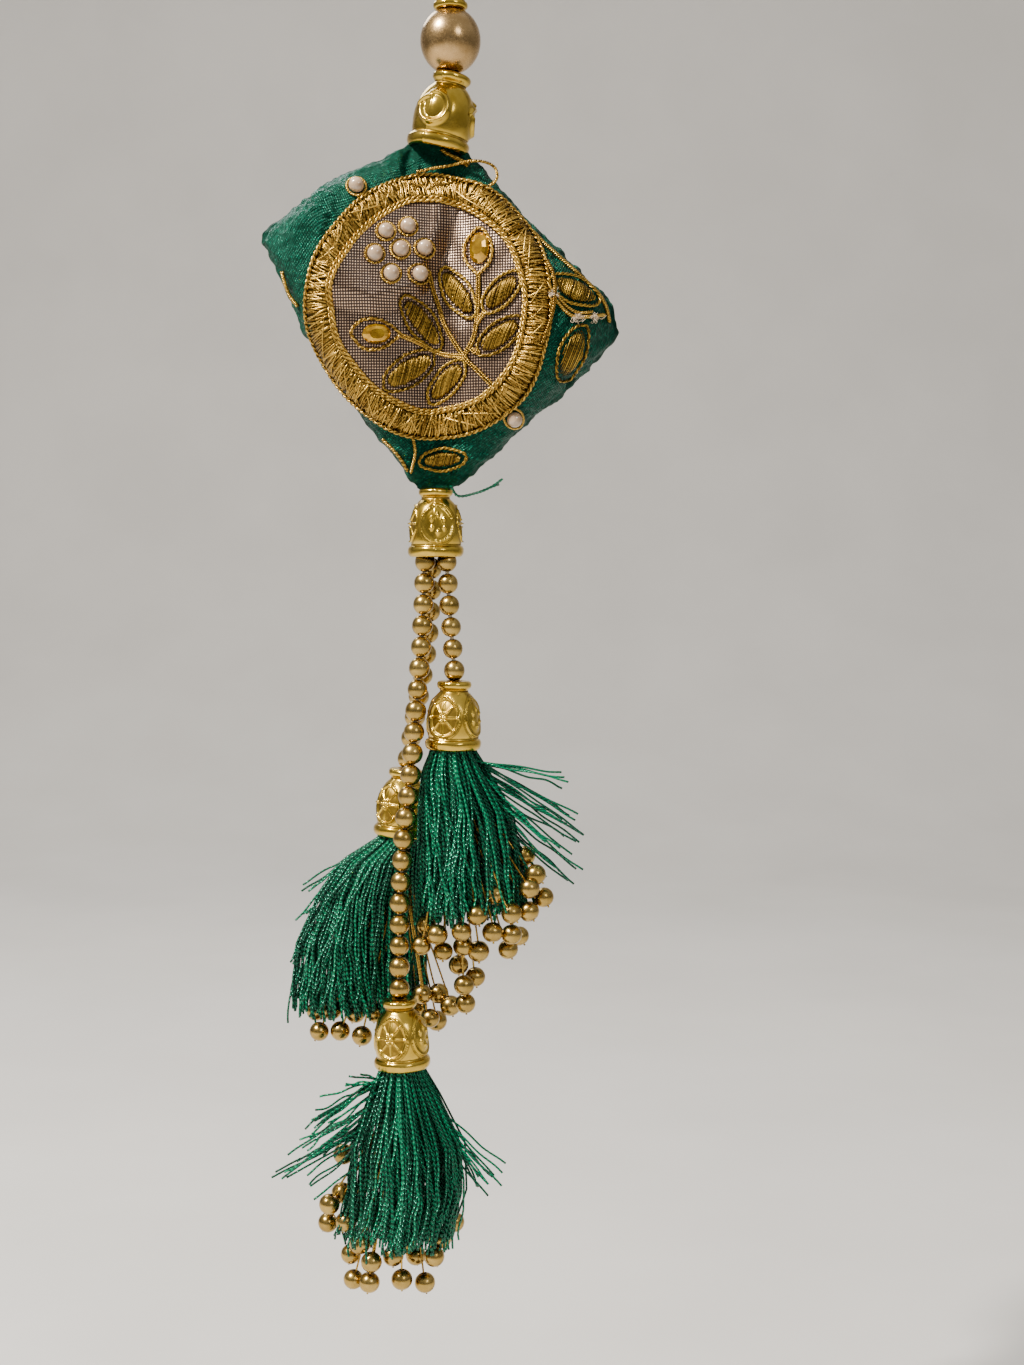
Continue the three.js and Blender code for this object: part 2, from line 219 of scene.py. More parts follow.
def unit(vectors):
    return vectors / np.maximum(np.linalg.norm(vectors, axis=-1, keepdims=True), 1e-12)


def frames_along(paths, hint):
    """Tangent and two side directions at each point of many paths, paths being [k, n, 3]."""
    tangent = unit(np.gradient(paths, axis=1))
    side = unit(np.cross(tangent, hint))
    return tangent, side, np.cross(side, tangent)


def wrapped_quads(index):
    """Faces between the rows of a grid of point numbers, each row closing on itself."""
    turned = np.roll(index, -1, axis=-1)
    corners = [index[..., :-1, :], turned[..., :-1, :], turned[..., 1:, :], index[..., 1:, :]]
    return np.stack(corners, axis=-1).reshape(-1, 4)


def closed_quads(rows, sides):
    """Faces of a grid that closes on itself both ways."""
    index = np.arange(rows * sides).reshape(rows, sides)
    return wrapped_quads(np.concatenate([index, index[:1]]))


def end_faces(index):
    """The two flat ends of a grid of point numbers."""
    return [index[0, ::-1].tolist(), index[-1].tolist()]


def tube_mesh(paths, radii, sides, hint=(0.13, 0.9, 0.41)):
    """Points, faces and attributes of closed tubes along many paths of n points each."""
    paths = np.asarray(paths, float)
    k, n, _ = paths.shape
    radii = np.broadcast_to(np.asarray(radii, float), (k, n))
    _, side, up = frames_along(paths, np.asarray(hint, float))
    turn = np.arange(sides) * 2 * math.pi / sides
    ring = (np.cos(turn)[:, None] * side[:, :, None, :]
            + np.sin(turn)[:, None] * up[:, :, None, :])
    verts = paths[:, :, None, :] + ring * radii[:, :, None, None]
    index = np.arange(k * n * sides).reshape(k, n, sides)
    faces = wrapped_quads(index).tolist()
    faces += index[:, 0, ::-1].tolist() + index[:, -1].tolist()
    step = np.linalg.norm(np.diff(paths, axis=1), axis=2)
    along = np.concatenate([np.zeros((k, 1)), np.cumsum(step, axis=1)], axis=1)
    shade = RNG.random(k)
    attributes = {
        "along": np.repeat(along.ravel(), sides) / MM,
        "around": np.tile(turn / (2 * math.pi), k * n),
        "shade": np.repeat(shade, n * sides),
    }
    return verts.reshape(-1, 3), faces, attributes


def joined(parts):
    """Several (points, faces, attributes) meshes as one."""
    verts, faces, attributes, start = [], [], {}, 0
    for points, own, values in parts:
        verts.append(points)
        faces += [[i + start for i in face] for face in own]
        for key, numbers in values.items():
            attributes.setdefault(key, []).append(numbers)
        start += len(points)
    merged = {key: np.concatenate(rows) for key, rows in attributes.items()}
    return np.concatenate(verts), faces, merged


def smooth_curve(points, count, closed=False):
    """Catmull-Rom curve through points, resampled to count evenly spaced points."""
    p = np.asarray(points, float)
    if closed:
        p = np.concatenate([p[-1:], p, p[:2]])
    else:
        p = np.concatenate([2 * p[:1] - p[1:2], p, 2 * p[-1:] - p[-2:-1]])
    t = np.linspace(0, 1, 24, endpoint=False)[:, None]
    rows = []
    for a, b, c, d in zip(p[:-3], p[1:-2], p[2:-1], p[3:]):
        rows.append(0.5 * (2 * b + (c - a) * t + (2 * a - 5 * b + 4 * c - d) * t ** 2
                           + (3 * b - a - 3 * c + d) * t ** 3))
    line = np.concatenate(rows + [p[-2:-1]])
    run = np.concatenate([[0], np.cumsum(np.linalg.norm(np.diff(line, axis=0), axis=1))])
    at = np.linspace(0, run[-1], count)
    return np.stack([np.interp(at, run, line[:, i]) for i in range(line.shape[1])], axis=1)


def path_length(path):
    return float(np.linalg.norm(np.diff(path, axis=0), axis=1).sum())


def plied(path, ply_radius, plies, lay_length, hint):
    """Helical paths of the plies of a twisted cord round a path."""
    length = path_length(path)
    count = max(12, int(length / lay_length * 9))
    line = smooth_curve(path, count)
    _, side, up = frames_along(line[None], np.asarray(hint, float))
    turn = np.linspace(0, length / lay_length * 2 * math.pi, count)[:, None]
    rows = []
    for k in range(plies):
        phase = turn + 2 * math.pi * k / plies
        rows.append(line + ply_radius * (np.cos(phase) * side[0] + np.sin(phase) * up[0]))
    return np.stack(rows)


def cord_mesh(path, radius, hint=(0.0, 1.0, 0.05), lay=2.1 * MM, plies=2):
    """A twisted cord of two or more plies, as one mesh."""
    ply = radius * (0.5 if plies == 2 else 0.46)
    return tube_mesh(plied(path, radius - ply, plies, lay, hint), ply * 1.02, 6, hint)


def lathe_mesh(profile, sides):
    """Closed lathe about +Z of [radius, height] points, the profile closing on itself."""
    profile = np.asarray(profile, float)
    turn = np.arange(sides) * 2 * math.pi / sides
    r, z = profile[:, 0][:, None], profile[:, 1][:, None]
    verts = np.stack([r * np.cos(turn), r * np.sin(turn), z + 0 * turn], axis=-1)
    return verts, closed_quads(len(profile), sides)[:, ::-1].tolist()


# ---------------------------------------------------------------- materials


class Nodes:
    """Short way to write a node material."""

    def __init__(self, name):
        self.material = bpy.data.materials.new(name)
        self.material.use_nodes = True
        self.tree = self.material.node_tree
        self.shader = self.tree.nodes["Principled BSDF"]

    def add(self, kind, values=None, **settings):
        node = self.tree.nodes.new(kind)
        for key, value in settings.items():
            setattr(node, key, value)
        for key, value in (values or {}).items():
            self.put(value, node.inputs[key])
        return node

    def put(self, value, socket):
        if hasattr(value, "node"):
            self.tree.links.new(value, socket)
        else:
            socket.default_value = value

    def set(self, **values):
        for key, value in values.items():
            self.put(value, self.shader.inputs[key.replace("_", " ")])

    def attribute(self, name):
        return self.add("ShaderNodeAttribute", attribute_name=name).outputs["Fac"]

    def place(self):
        return self.add("ShaderNodeTexCoord").outputs["Object"]

    def uv(self):
        return self.add("ShaderNodeUVMap", uv_map="cloth").outputs["UV"]

    def math(self, operation, a, b=0.0):
        return self.add("ShaderNodeMath", {0: a, 1: b}, operation=operation).outputs[0]

    def noise(self, scale, detail=3.0, rough=0.55, vector=None):
        values = {"Scale": scale, "Detail": detail, "Roughness": rough}
        values["Vector"] = vector if vector is not None else self.place()
        return self.add("ShaderNodeTexNoise", values).outputs["Fac"]

    def stretched(self, vector, factors):
        return self.add("ShaderNodeMapping", {"Vector": vector, "Scale": factors}).outputs[0]

    def ramp(self, fac, stops):
        node = self.add("ShaderNodeValToRGB", {"Fac": fac})
        marks = node.color_ramp.elements
        while len(marks) < len(stops):
            marks.new(0.5)
        for mark, (place, colour) in zip(marks, stops):
            mark.position = place
            mark.color = (*colour, 1) if len(colour) == 3 else colour
        return node.outputs["Color"]

    def grey(self, fac, low, high, start=0.0, end=1.0):
        values = {"Value": fac, "From Min": start, "From Max": end, "To Min": low, "To Max": high}
        return self.add("ShaderNodeMapRange", values).outputs[0]

    def mix(self, fac, a, b):
        node = self.add("ShaderNodeMix", data_type="RGBA")
        self.put(fac, node.inputs[0])
        self.put(a, node.inputs[6])
        self.put(b, node.inputs[7])
        return node.outputs[2]

    def bump(self, height, strength, distance):
        values = {"Height": height, "Strength": strength, "Distance": distance}
        self.put(self.add("ShaderNodeBump", values).outputs[0], self.shader.inputs["Normal"])


def stage_material():
    m = Nodes("pale_plaster")
    grain = m.noise(9.0, 4.0)
    m.set(Base_Color=m.ramp(grain, [(0.35, (0.6, 0.585, 0.56)), (0.65, (0.64, 0.625, 0.6))]))
    m.set(Roughness=0.85)
    m.bump(m.noise(420.0, 3.0), 0.08, 0.0004)
    return m.material


def antique_gold():
    """Yellow gold plating, bright where raised, darkened by painted shade in the recesses and by random
    spots of grime.
    """
    m = Nodes("antique_gold")
    recess_shade = m.attribute("recess_shade")
    grime = m.math("MULTIPLY", m.noise(900.0, 5.0), 0.55)
    # Painted shade in the recesses plus random grime: both make the gold darker and rougher.
    grime_and_recess_shade = m.math("ADD", recess_shade, m.math("SUBTRACT", grime, 0.3))
    gold = m.ramp(m.noise(260.0, 3.0), [(0.3, (0.5, 0.32, 0.035)), (0.7, (0.7, 0.48, 0.08))])
    colour = m.mix(m.grey(grime_and_recess_shade, 0.0, 0.95, 0.3, 0.85), gold, (0.09, 0.045, 0.008, 1))
    m.set(Base_Color=colour, Metallic=1.0)
    rough = m.math("ADD", m.grey(grime_and_recess_shade, 0.16, 0.5, 0.2, 0.9), m.grey(m.noise(1600.0), -0.05, 0.08))
    m.set(Roughness=rough)
    m.bump(m.noise(2200.0, 4.0), 0.18, 0.00006)
    return m.material


def plated_bead(name, low, high, wear):
    """Plated bead: soft colour drift, small scuffs, and painted shade at the bore edges and inside the bore.
    """
    m = Nodes(name)
    drift = m.noise(330.0, 3.0)
    colour = m.ramp(drift, [(0.3, low), (0.7, high)])
    scuffs = m.noise(2100.0, 6.0, 0.7)
    worn = m.grey(scuffs, 0.0, 1.0, 0.62, 0.72)
    colour = m.mix(worn, colour, (*wear, 1))
    # Painted shade at the bore edges and inside the bore.
    colour = m.mix(m.grey(m.attribute("recess_shade"), 0.0, 0.9), colour, (0.1, 0.06, 0.03, 1))
    m.set(Base_Color=colour, Metallic=1.0)
    m.set(Roughness=m.math("ADD", m.grey(scuffs, 0.14, 0.32, 0.3, 0.75), m.grey(drift, 0.0, 0.06)))
    m.bump(m.noise(1500.0, 4.0), 0.12, 0.00006)
    return m.material


def green_silk():
    """Art silk with a fine rib, a small woven figure, and floating yarn whose bright flecks are painted
    glints.
    """
    m = Nodes("green_silk")
    uv = m.uv()
    warp = m.add("ShaderNodeTexWave", {"Vector": uv, "Scale": 0.82, "Distortion": 0.9,
                                       "Detail": 2.0, "Detail Scale": 3.0},
                 bands_direction="X").outputs["Fac"]
    weft = m.add("ShaderNodeTexWave", {"Vector": uv, "Scale": 0.9, "Distortion": 1.2,
                                       "Detail": 2.0, "Detail Scale": 3.0},
                 bands_direction="Y").outputs["Fac"]
    weave = m.math("MULTIPLY", m.math("ADD", warp, weft), 0.5)
    floats = m.noise(1.9, 3.0, 0.65, m.stretched(uv, (2.6, 1.0, 1.0)))
    figure = m.noise(0.55, 2.0, 0.5, uv)
    base = m.ramp(m.math("ADD", m.math("MULTIPLY", weave, 0.5), m.math("MULTIPLY", figure, 0.5)),
                  [(0.25, (0.0, 0.004, 0.002)), (0.55, (0.0, 0.017, 0.01)),
                   (0.85, (0.001, 0.044, 0.026))])
    # Painted glints: bright green flecks on the floating yarn.
    fleck_glint = m.grey(floats, 0.0, 0.9, 0.56, 0.68)
    m.set(Base_Color=m.mix(fleck_glint, base, (0.004, 0.25, 0.155, 1)))
    m.set(Roughness=m.grey(floats, 0.6, 0.22, 0.45, 0.62))
    m.set(Specular_IOR_Level=0.45, Specular_Tint=(0.15, 1.0, 0.65, 1))
    height = m.math("ADD", weave, m.math("MULTIPLY", floats, 1.2))
    m.bump(height, 0.9, 0.00022)
    return m.material


def zari_gold(name="zari_gold", low=(0.13, 0.065, 0.008), high=(0.76, 0.49, 0.1), rough=0.28):
    """Metal foil wound round a core, with bright broken glints painted along each thread and dark between
    them.
    """
    m = Nodes(name)
    shade = m.attribute("shade")
    along = m.attribute("along")
    foil_glint = m.add("ShaderNodeTexNoise", {"W": m.math("ADD", m.math("MULTIPLY", along, 2.4),
                                                    m.math("MULTIPLY", shade, 40.0)),
                                        "Scale": 1.0, "Detail": 2.0},
                 noise_dimensions="1D").outputs["Fac"]
    tone = m.math("ADD", m.math("MULTIPLY", shade, 0.42), m.math("MULTIPLY", foil_glint, 0.65))
    # Painted glints: the colour runs from dark brown to bright gold along each thread.
    m.set(Base_Color=m.ramp(tone, [(0.28, low), (0.84, high)]), Metallic=0.92)
    m.set(Roughness=m.grey(foil_glint, rough - 0.08, rough + 0.2, 0.3, 0.7))
    m.bump(m.math("ADD", foil_glint, m.noise(3500.0, 2.0)), 0.5, 0.00005)
    return m.material


def tissue_metal():
    """Metallic tissue: rows of flat bright yarn over a darker mauve-brown warp, in an open weave."""
    m = Nodes("metallic_tissue")
    uv = m.uv()
    wave = {"Vector": uv, "Scale": 0.56, "Distortion": 0.35, "Detail": 1.0, "Detail Scale": 0.6}
    rows = m.add("ShaderNodeTexWave", wave, bands_direction="Y").outputs["Fac"]
    wave["Scale"] = 0.6
    columns = m.add("ShaderNodeTexWave", wave, bands_direction="X").outputs["Fac"]
    dots = m.math("MULTIPLY", m.math("POWER", rows, 0.8), m.math("POWER", columns, 0.8))
    yarn = m.noise(2.6, 3.0, 0.6, m.stretched(uv, (0.4, 2.2, 1.0)))
    tone = m.math("ADD", m.math("MULTIPLY", dots, 0.85), m.math("MULTIPLY", yarn, 0.25))
    colour = m.ramp(tone, [(0.25, (0.018, 0.009, 0.006)), (0.55, (0.22, 0.135, 0.09)),
                           (0.98, (0.9, 0.66, 0.46))])
    m.set(Base_Color=colour, Metallic=m.grey(dots, 0.45, 0.95, 0.05, 0.5))
    m.set(Roughness=m.grey(yarn, 0.26, 0.4, 0.3, 0.7))
    m.bump(m.math("ADD", dots, m.math("MULTIPLY", yarn, 0.4)), 0.4, 0.0001)
    return m.material


def rayon_thread():
    """Glossy twisted rayon: green drifts from thread to thread, with painted glints at each turn of the ply
    and painted shade between the plies.
    """
    m = Nodes("rayon_thread")
    shade = m.attribute("shade")
    turns = m.math("ADD", m.attribute("along"), m.math("MULTIPLY", shade, 31.0))
    ply = m.math("ADD", turns, m.attribute("around"))
    wave = m.math("ABSOLUTE", m.math("SINE", m.math("MULTIPLY", ply, math.pi)))
    tone = m.math("ADD", m.math("MULTIPLY", shade, 0.5), m.math("MULTIPLY", wave, 0.5))
    # Painted light: bright on each ply's ridge, dark in the groove between plies.
    colour = m.ramp(tone, [(0.1, (0.0, 0.005, 0.002)), (0.5, (0.0, 0.037, 0.016)),
                           (0.95, (0.0, 0.21, 0.092))])
    m.set(Base_Color=colour, Specular_IOR_Level=0.9, Specular_Tint=(0.25, 1.0, 0.7, 1))
    m.set(Roughness=m.grey(wave, 0.45, 0.16))
    m.bump(wave, 1.0, 0.00026)
    return m.material


def silk_cord():
    """Twisted silk cord in the cushion's green, with painted shade between its strands."""
    m = Nodes("silk_cord")
    strand = m.math("ADD", m.math("MULTIPLY", m.attribute("around"), 9.0),
                    m.math("MULTIPLY", m.attribute("along"), 1.3))
    fine = m.math("ABSOLUTE", m.math("SINE", m.math("MULTIPLY", strand, math.pi)))
    # Painted shade: darker in the grooves between the strands.
    m.set(Base_Color=m.ramp(fine, [(0.1, (0.0, 0.012, 0.007)), (0.9, (0.0, 0.09, 0.05))]))
    m.set(Roughness=0.45, Sheen_Weight=0.3, Sheen_Roughness=0.3)
    m.bump(fine, 0.7, 0.0001)
    return m.material


def beading_string():
    m = Nodes("beading_string")
    fuzz = m.noise(2500.0, 4.0)
    m.set(Base_Color=m.ramp(fuzz, [(0.3, (0.42, 0.33, 0.18)), (0.7, (0.72, 0.62, 0.42))]))
    m.set(Roughness=0.75)
    m.bump(fuzz, 0.6, 0.0001)
    return m.material


def pearl_lustre():
    """Ivory imitation pearl, faintly clouded, under a clear lacquer."""
    m = Nodes("pearl_lustre")
    cloud = m.noise(700.0, 3.0)
    m.set(Base_Color=m.ramp(cloud, [(0.3, (0.34, 0.22, 0.13)), (0.7, (0.48, 0.35, 0.23))]))
    m.set(Roughness=m.grey(cloud, 0.16, 0.28, 0.3, 0.7))
    m.set(Coat_Weight=0.9, Coat_Roughness=0.06, Specular_IOR_Level=0.7)
    return m.material


def amber_glass():
    m = Nodes("amber_glass")
    streak = m.noise(600.0, 2.0)
    m.set(Base_Color=m.ramp(streak, [(0.3, (0.3, 0.13, 0.003)), (0.7, (0.78, 0.45, 0.02))]))
    m.set(Roughness=0.06, Metallic=0.8, Coat_Weight=0.6, Coat_Roughness=0.02)
    m.set(Specular_IOR_Level=0.9)
    return m.material


def pale_fluff():
    m = Nodes("pale_fluff")
    low, high = (0.42, 0.3, 0.17), (0.66, 0.54, 0.38)
    m.set(Base_Color=m.ramp(m.attribute("shade"), [(0.0, low), (1.0, high)]))
    m.set(Roughness=0.9, Sheen_Weight=0.4)
    return m.material


MATERIALS = {
    "antique_gold": antique_gold(),
    "champagne": plated_bead("champagne_plating", (0.4, 0.25, 0.1), (0.56, 0.37, 0.17),
                             (0.66, 0.48, 0.28)),
    "bead": plated_bead("bead_plating", (0.31, 0.2, 0.046), (0.51, 0.35, 0.105), (0.38, 0.25, 0.09)),
    "silk": green_silk(),
    "zari": zari_gold(),
    "zari_dull": zari_gold("zari_gold_dull", (0.07, 0.036, 0.004), (0.46, 0.29, 0.045), 0.34),
    "tissue": tissue_metal(),
    "rayon": rayon_thread(),
    "silk_cord": silk_cord(),
    "string": beading_string(),
    "pearl": pearl_lustre(),
    "amber": amber_glass(),
    "fluff": pale_fluff(),
}


def piece(name, mesh, material, body, replaces=(), smooth=True, uv=None):
    """A finished piece: mesh, material, the body it rides on and the CAD nodes it stands for."""
    verts, faces, attributes = mesh
    made = raw_object(name, verts, faces, [MATERIALS[material]], smooth, attributes, uv)
    if body:
        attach(made, body)
    if replaces:
        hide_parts(*replaces)
    return made


# ---------------------------------------------------------------- bell caps and beads

CAP_TILTS = {
    "upper_bell_cap": math.radians(12),
    "tassel_1_bell_cap": -0.04,
    "tassel_2_bell_cap": 0.02,
    "tassel_3_bell_cap": 0.08,
}
CAP_SCALES = {"upper_bell_cap": 1.12}
# How far threaded pieces have slipped down on their string, in mm
SLIPPED_DOWN = {
    "top_bell_cap": 1.5, "large_bead": 0.8, "upper_bell_cap": 1.5,
    "tassel_1_bell_cap": 0.35, "tassel_2_bell_cap": 0.35, "tassel_3_bell_cap": 0.35,
}
# The reliefs round each cap, and how far the first one is turned from the front
CAP_PANELS = {
    "top_bell_cap": (("wheel", "star", "wheel", "star"), 0.4),
    "upper_bell_cap": (("scroll", "scroll", "scroll"), -0.35),
    "lower_bell_cap": (("star", "wheel", "star", "wheel"), 0.12),
    "tassel_1_bell_cap": (("wheel", "star", "wheel", "star"), -0.4),
    "tassel_2_bell_cap": (("wheel", "star", "wheel", "star"), -0.42),
    "tassel_3_bell_cap": (("wheel", "star", "wheel", "star"), -0.75),
}
# Rows of points on each stretch of a cap's outline, and points in each row
NECK_ROWS, BODY_ROWS, RIM_ROWS, INSIDE_ROWS = 26, 76, 26, 20
CAP_SIDES = 220
# Middle height and half height of the reliefs, and the cap's radius where they sit, in mm
RELIEF_MIDDLE, RELIEF_HALF_HEIGHT, RELIEF_HALF_WIDTH = -7.2, 4.1, 3.5
CAP_RADIUS = 5.1


def cap_profile():
    """Outer and inner outline of a bell cap in mm, neck up, its neck's top at height 0."""
    neck = [(1.6, 0.0), (2.5, 0.0), (3.05, -0.1), (3.4, -0.4), (3.5, -0.85), (3.4, -1.3),
            (3.05, -1.7), (2.85, -2.0), (2.95, -2.3)]
    body = [(3.3, -2.7), (3.9, -3.4), (4.5, -4.4), (4.95, -5.6), (5.2, -7.0), (5.3, -8.4),
            (5.28, -9.8), (5.18, -10.8), (5.0, -11.4)]
    rim = [(5.1, -11.7), (5.45, -11.95), (5.68, -12.4), (5.7, -12.9), (5.6, -13.4), (5.35, -13.8),
           (5.05, -14.0)]
    inside = [(4.75, -13.95), (4.7, -12), (4.75, -9), (4.3, -6), (3.2, -3.8), (1.8, -2.6), (1.6, -1.2)]
    return neck, body, rim, inside


def wheel_relief(x, y):
    """Height of a wheel medallion at a point of its unit disc: a rim, eight thin spokes and a boss."""
    r = np.hypot(x, y)
    angle = np.arctan2(y, x)
    rim = np.exp(-((r - 0.93) / 0.06) ** 2)
    from_spoke = np.abs((angle / (math.pi / 4)) % 1 - 0.5) - 0.5
    spoke = np.exp(-((from_spoke * r * math.pi / 4) / 0.04) ** 2) * (r > 0.2) * (r < 0.93)
    knob = np.exp(-(r / 0.1) ** 2)
    dots = np.exp(-((r - 0.22) / 0.06) ** 2) * (0.5 + 0.5 * np.cos(6 * angle))
    return 0.95 * rim + 0.65 * spoke + 0.9 * knob + 0.8 * dots, r


def star_relief(x, y):
    """Height of a plain oval medallion with a raised border and a low star of small diamonds."""
    r = np.hypot(x, y)
    rim = np.exp(-((r - 0.93) / 0.08) ** 2)
    field = 0.35 * (r < 0.86)
    star = np.zeros_like(r)
    for k in range(6):
        turn = math.pi / 6 + k * math.pi / 3
        away = np.abs(x - 0.42 * math.cos(turn)) / 0.16 + np.abs(y - 0.42 * math.sin(turn)) / 0.22
        star = np.maximum(star, np.clip(1 - away, 0, 1))
    return 0.95 * rim + field + 0.9 * star, r


def scroll_relief(x, y):
    """Height of a scroll: an open round hook over a domed field, its tail curling up to the left."""
    r = np.hypot(x, y)
    angle = np.arctan2(y, x)
    gap = np.clip((np.abs(angle - 2.6) - 0.25) / 0.3, 0, 1)
    hook = np.exp(-((r - 0.68) / 0.12) ** 2) * gap
    tail_line = 0.35 * np.sin(2.4 * (x + 1.0)) + 0.1
    tail = np.exp(-((y - tail_line) / 0.12) ** 2) * (x < -0.15) * (x > -1.0)
    dome = 0.45 * np.clip(1 - (r / 0.6) ** 2, 0, 1)
    return np.maximum(np.maximum(1.2 * hook, 1.0 * tail), dome) + 0.62, r


PANEL_RELIEFS = {"wheel": wheel_relief, "star": star_relief, "scroll": scroll_relief}


def cap_mesh(panels, first_turn):
    """Bell cap with its relief as real geometry, about +Z, neck up, with shade painted into its recesses,
    grooves and inside.
    """
    neck, body, rim, inside = cap_profile()
    fine = np.concatenate([
        smooth_curve(neck, NECK_ROWS), smooth_curve(body, BODY_ROWS),
        smooth_curve(rim, RIM_ROWS), smooth_curve(inside, INSIDE_ROWS),
    ])
    grid, faces = lathe_mesh(fine, CAP_SIDES)
    turn = np.arctan2(grid[..., 1], grid[..., 0])
    radius = np.hypot(grid[..., 0], grid[..., 1])
    row = np.arange(len(fine))[:, None] + 0 * turn
    on_body = (row >= NECK_ROWS) & (row < NECK_ROWS + BODY_ROWS)
    outside = row < NECK_ROWS + BODY_ROWS + RIM_ROWS
    relief = np.zeros_like(turn)
    recess_shade = np.zeros_like(turn)
    inside_any = np.zeros_like(turn)
    for k, panel in enumerate(panels):
        centre = first_turn - math.pi / 2 + k * 2 * math.pi / len(panels)
        offset = (turn - centre + math.pi) % (2 * math.pi) - math.pi
        x = offset * CAP_RADIUS / RELIEF_HALF_WIDTH
        y = (grid[..., 2] - RELIEF_MIDDLE) / RELIEF_HALF_HEIGHT
        shape, r = PANEL_RELIEFS[panel](x, y)
        inner = (r < 1.02) & on_body
        relief = np.where(inner, shape, relief)
        inside_any = np.where(inner, 1.0, inside_any)
        # Painted shade in the sunk ring round each medallion.
        between = np.exp(-((r - 1.12) / 0.06) ** 2) * on_body * (panel != "scroll")
        recess_shade = np.maximum(recess_shade, between * 0.7)
    lift = np.where(inside_any > 0, relief * 0.55 - 0.24, 0.1 * on_body)
    # Painted shade on the low parts of each relief.
    shaded = np.where(inside_any > 0, np.clip(0.7 - relief * 1.6, 0, 1), 0.12 * on_body)
    recess_shade = np.maximum(recess_shade, shaded)
    seam = np.exp(-((np.abs((turn - first_turn + 0.12) % math.pi - math.pi / 2)) / 0.03) ** 2)
    lift = lift + 0.09 * seam * outside
    # Painted shade in the grooves at the neck and above the rim.
    groove = np.exp(-((grid[..., 2] + 2.05) / 0.22) ** 2) + np.exp(-((grid[..., 2] + 11.5) / 0.2) ** 2)
    recess_shade = np.clip(np.maximum(recess_shade, groove * outside), 0, 1)
    # Painted shade: the inside of the cap is darkened throughout.
    recess_shade = np.where(outside, recess_shade, 0.9)
    dents = 0.03 * np.sin(3 * turn + grid[..., 2]) + 0.02 * np.sin(7 * turn - 1.3 * grid[..., 2])
    grown = (radius + np.where(outside, lift + dents, 0)) / np.maximum(radius, 1e-9)
    grid[..., 0] *= grown
    grid[..., 1] *= grown
    return grid.reshape(-1, 3) * MM, faces, {"recess_shade": recess_shade.ravel()}


def turned_about_y(points, angle):
    c, s = math.cos(angle), math.sin(angle)
    x, y, z = points.T
    return np.stack([x * c + z * s, y, -x * s + z * c], axis=1)


def centred_on(points, low, high):
    """The points moved so that their box has the same middle as another box."""
    middle = (points.min(0) + points.max(0)) / 2
    return points + (low + high) / 2 - middle


def make_caps():
    for node, (panels, first_turn) in CAP_PANELS.items():
        verts, faces, attributes = cap_mesh(panels, first_turn)
        verts = verts * CAP_SCALES.get(node, 1.0)
        if node == "top_bell_cap":
            verts = verts * vec(1, -1, -1)
        verts = turned_about_y(verts, CAP_TILTS.get(node, 0.0))
        verts = centred_on(verts, *box_of(node)) - vec(0, 0, SLIPPED_DOWN.get(node, 0) * MM)
        piece(f"{node}_shell", (verts, faces, attributes), "antique_gold", body_of(node),
              (node,))


def bead_mesh(radius, half_height, bore, bands, sides):
    """Round bead with a bore along Z and a softly dished edge round it."""
    start = math.asin(bore / radius)
    angle = np.linspace(start, math.pi - start, bands)
    dish = 1 - 0.02 * np.exp(-((angle - start) / 0.1) ** 2) - 0.02 * np.exp(
        -((angle - math.pi + start) / 0.1) ** 2)
    outer = np.stack([radius * np.sin(angle), half_height * np.cos(angle) * dish], axis=1)
    bore_line = np.stack([np.full(4, outer[0, 0]), np.linspace(outer[-1, 1], outer[0, 1], 6)[1:-1]], axis=1)
    grid, faces = lathe_mesh(np.concatenate([outer, bore_line]), sides)
    # Painted shade: darkest at the bore's edges and all through the bore.
    near_bore = np.exp(-((angle - start) / 0.08) ** 2) + np.exp(-((angle - math.pi + start) / 0.08) ** 2)
    recess_shade = np.repeat(np.concatenate([near_bore, np.ones(4)]), sides)
    return grid.reshape(-1, 3), faces, {"recess_shade": recess_shade}


def pointed_along(points, direction):
    """Points built about +Z, turned so that +Z lies along a direction."""
    turn = Vector((0, 0, 1)).rotation_difference(Vector(direction))
    return points @ np.array(turn.to_matrix()).T


def make_strand_beads():
    """The beads of each strand, each in the place of its CAD bead."""
    for strand in ("strand_1", "strand_2", "strand_3"):
        nodes = sorted(n for n in frame["nodes"] if n.startswith(f"{strand}_bead"))
        centres = [(sum(box_of(n)) / 2) for n in nodes]
        for i, node in enumerate(nodes):
            run = centres[max(i - 1, 0)] - centres[min(i + 1, len(nodes) - 1)]
            size = 1 + 0.03 * RNG.normal()
            radius = 2.1 * MM * min(max(size, 0.96), 1.02)
            verts, faces, attributes = bead_mesh(radius, radius * 1.03, 0.5 * MM, 26, 40)
            verts = pointed_along(verts, run) + centres[i]
            piece(f"{node}_plated", (verts, faces, attributes), "bead", body_of(node),
                  (node,))


def make_large_bead():
    low, high = box_of("large_bead")
    verts, faces, attributes = bead_mesh(6.1 * MM, 6.7 * MM, 1.1 * MM, 64, 96)
    verts = verts + (low + high) / 2 - vec(0, 0, SLIPPED_DOWN["large_bead"] * MM)
    piece("large_bead_plated", (verts, faces, attributes), "champagne", "large_bead",
          ("large_bead",))


def dress_strings():
    """CAD strings keep their shape and get a waxed string material."""
    for name, node in frame["nodes"].items():
        if "string" in name:
            node.data.materials.clear()
            node.data.materials.append(MATERIALS["string"])


# ---------------------------------------------------------------- cord loop


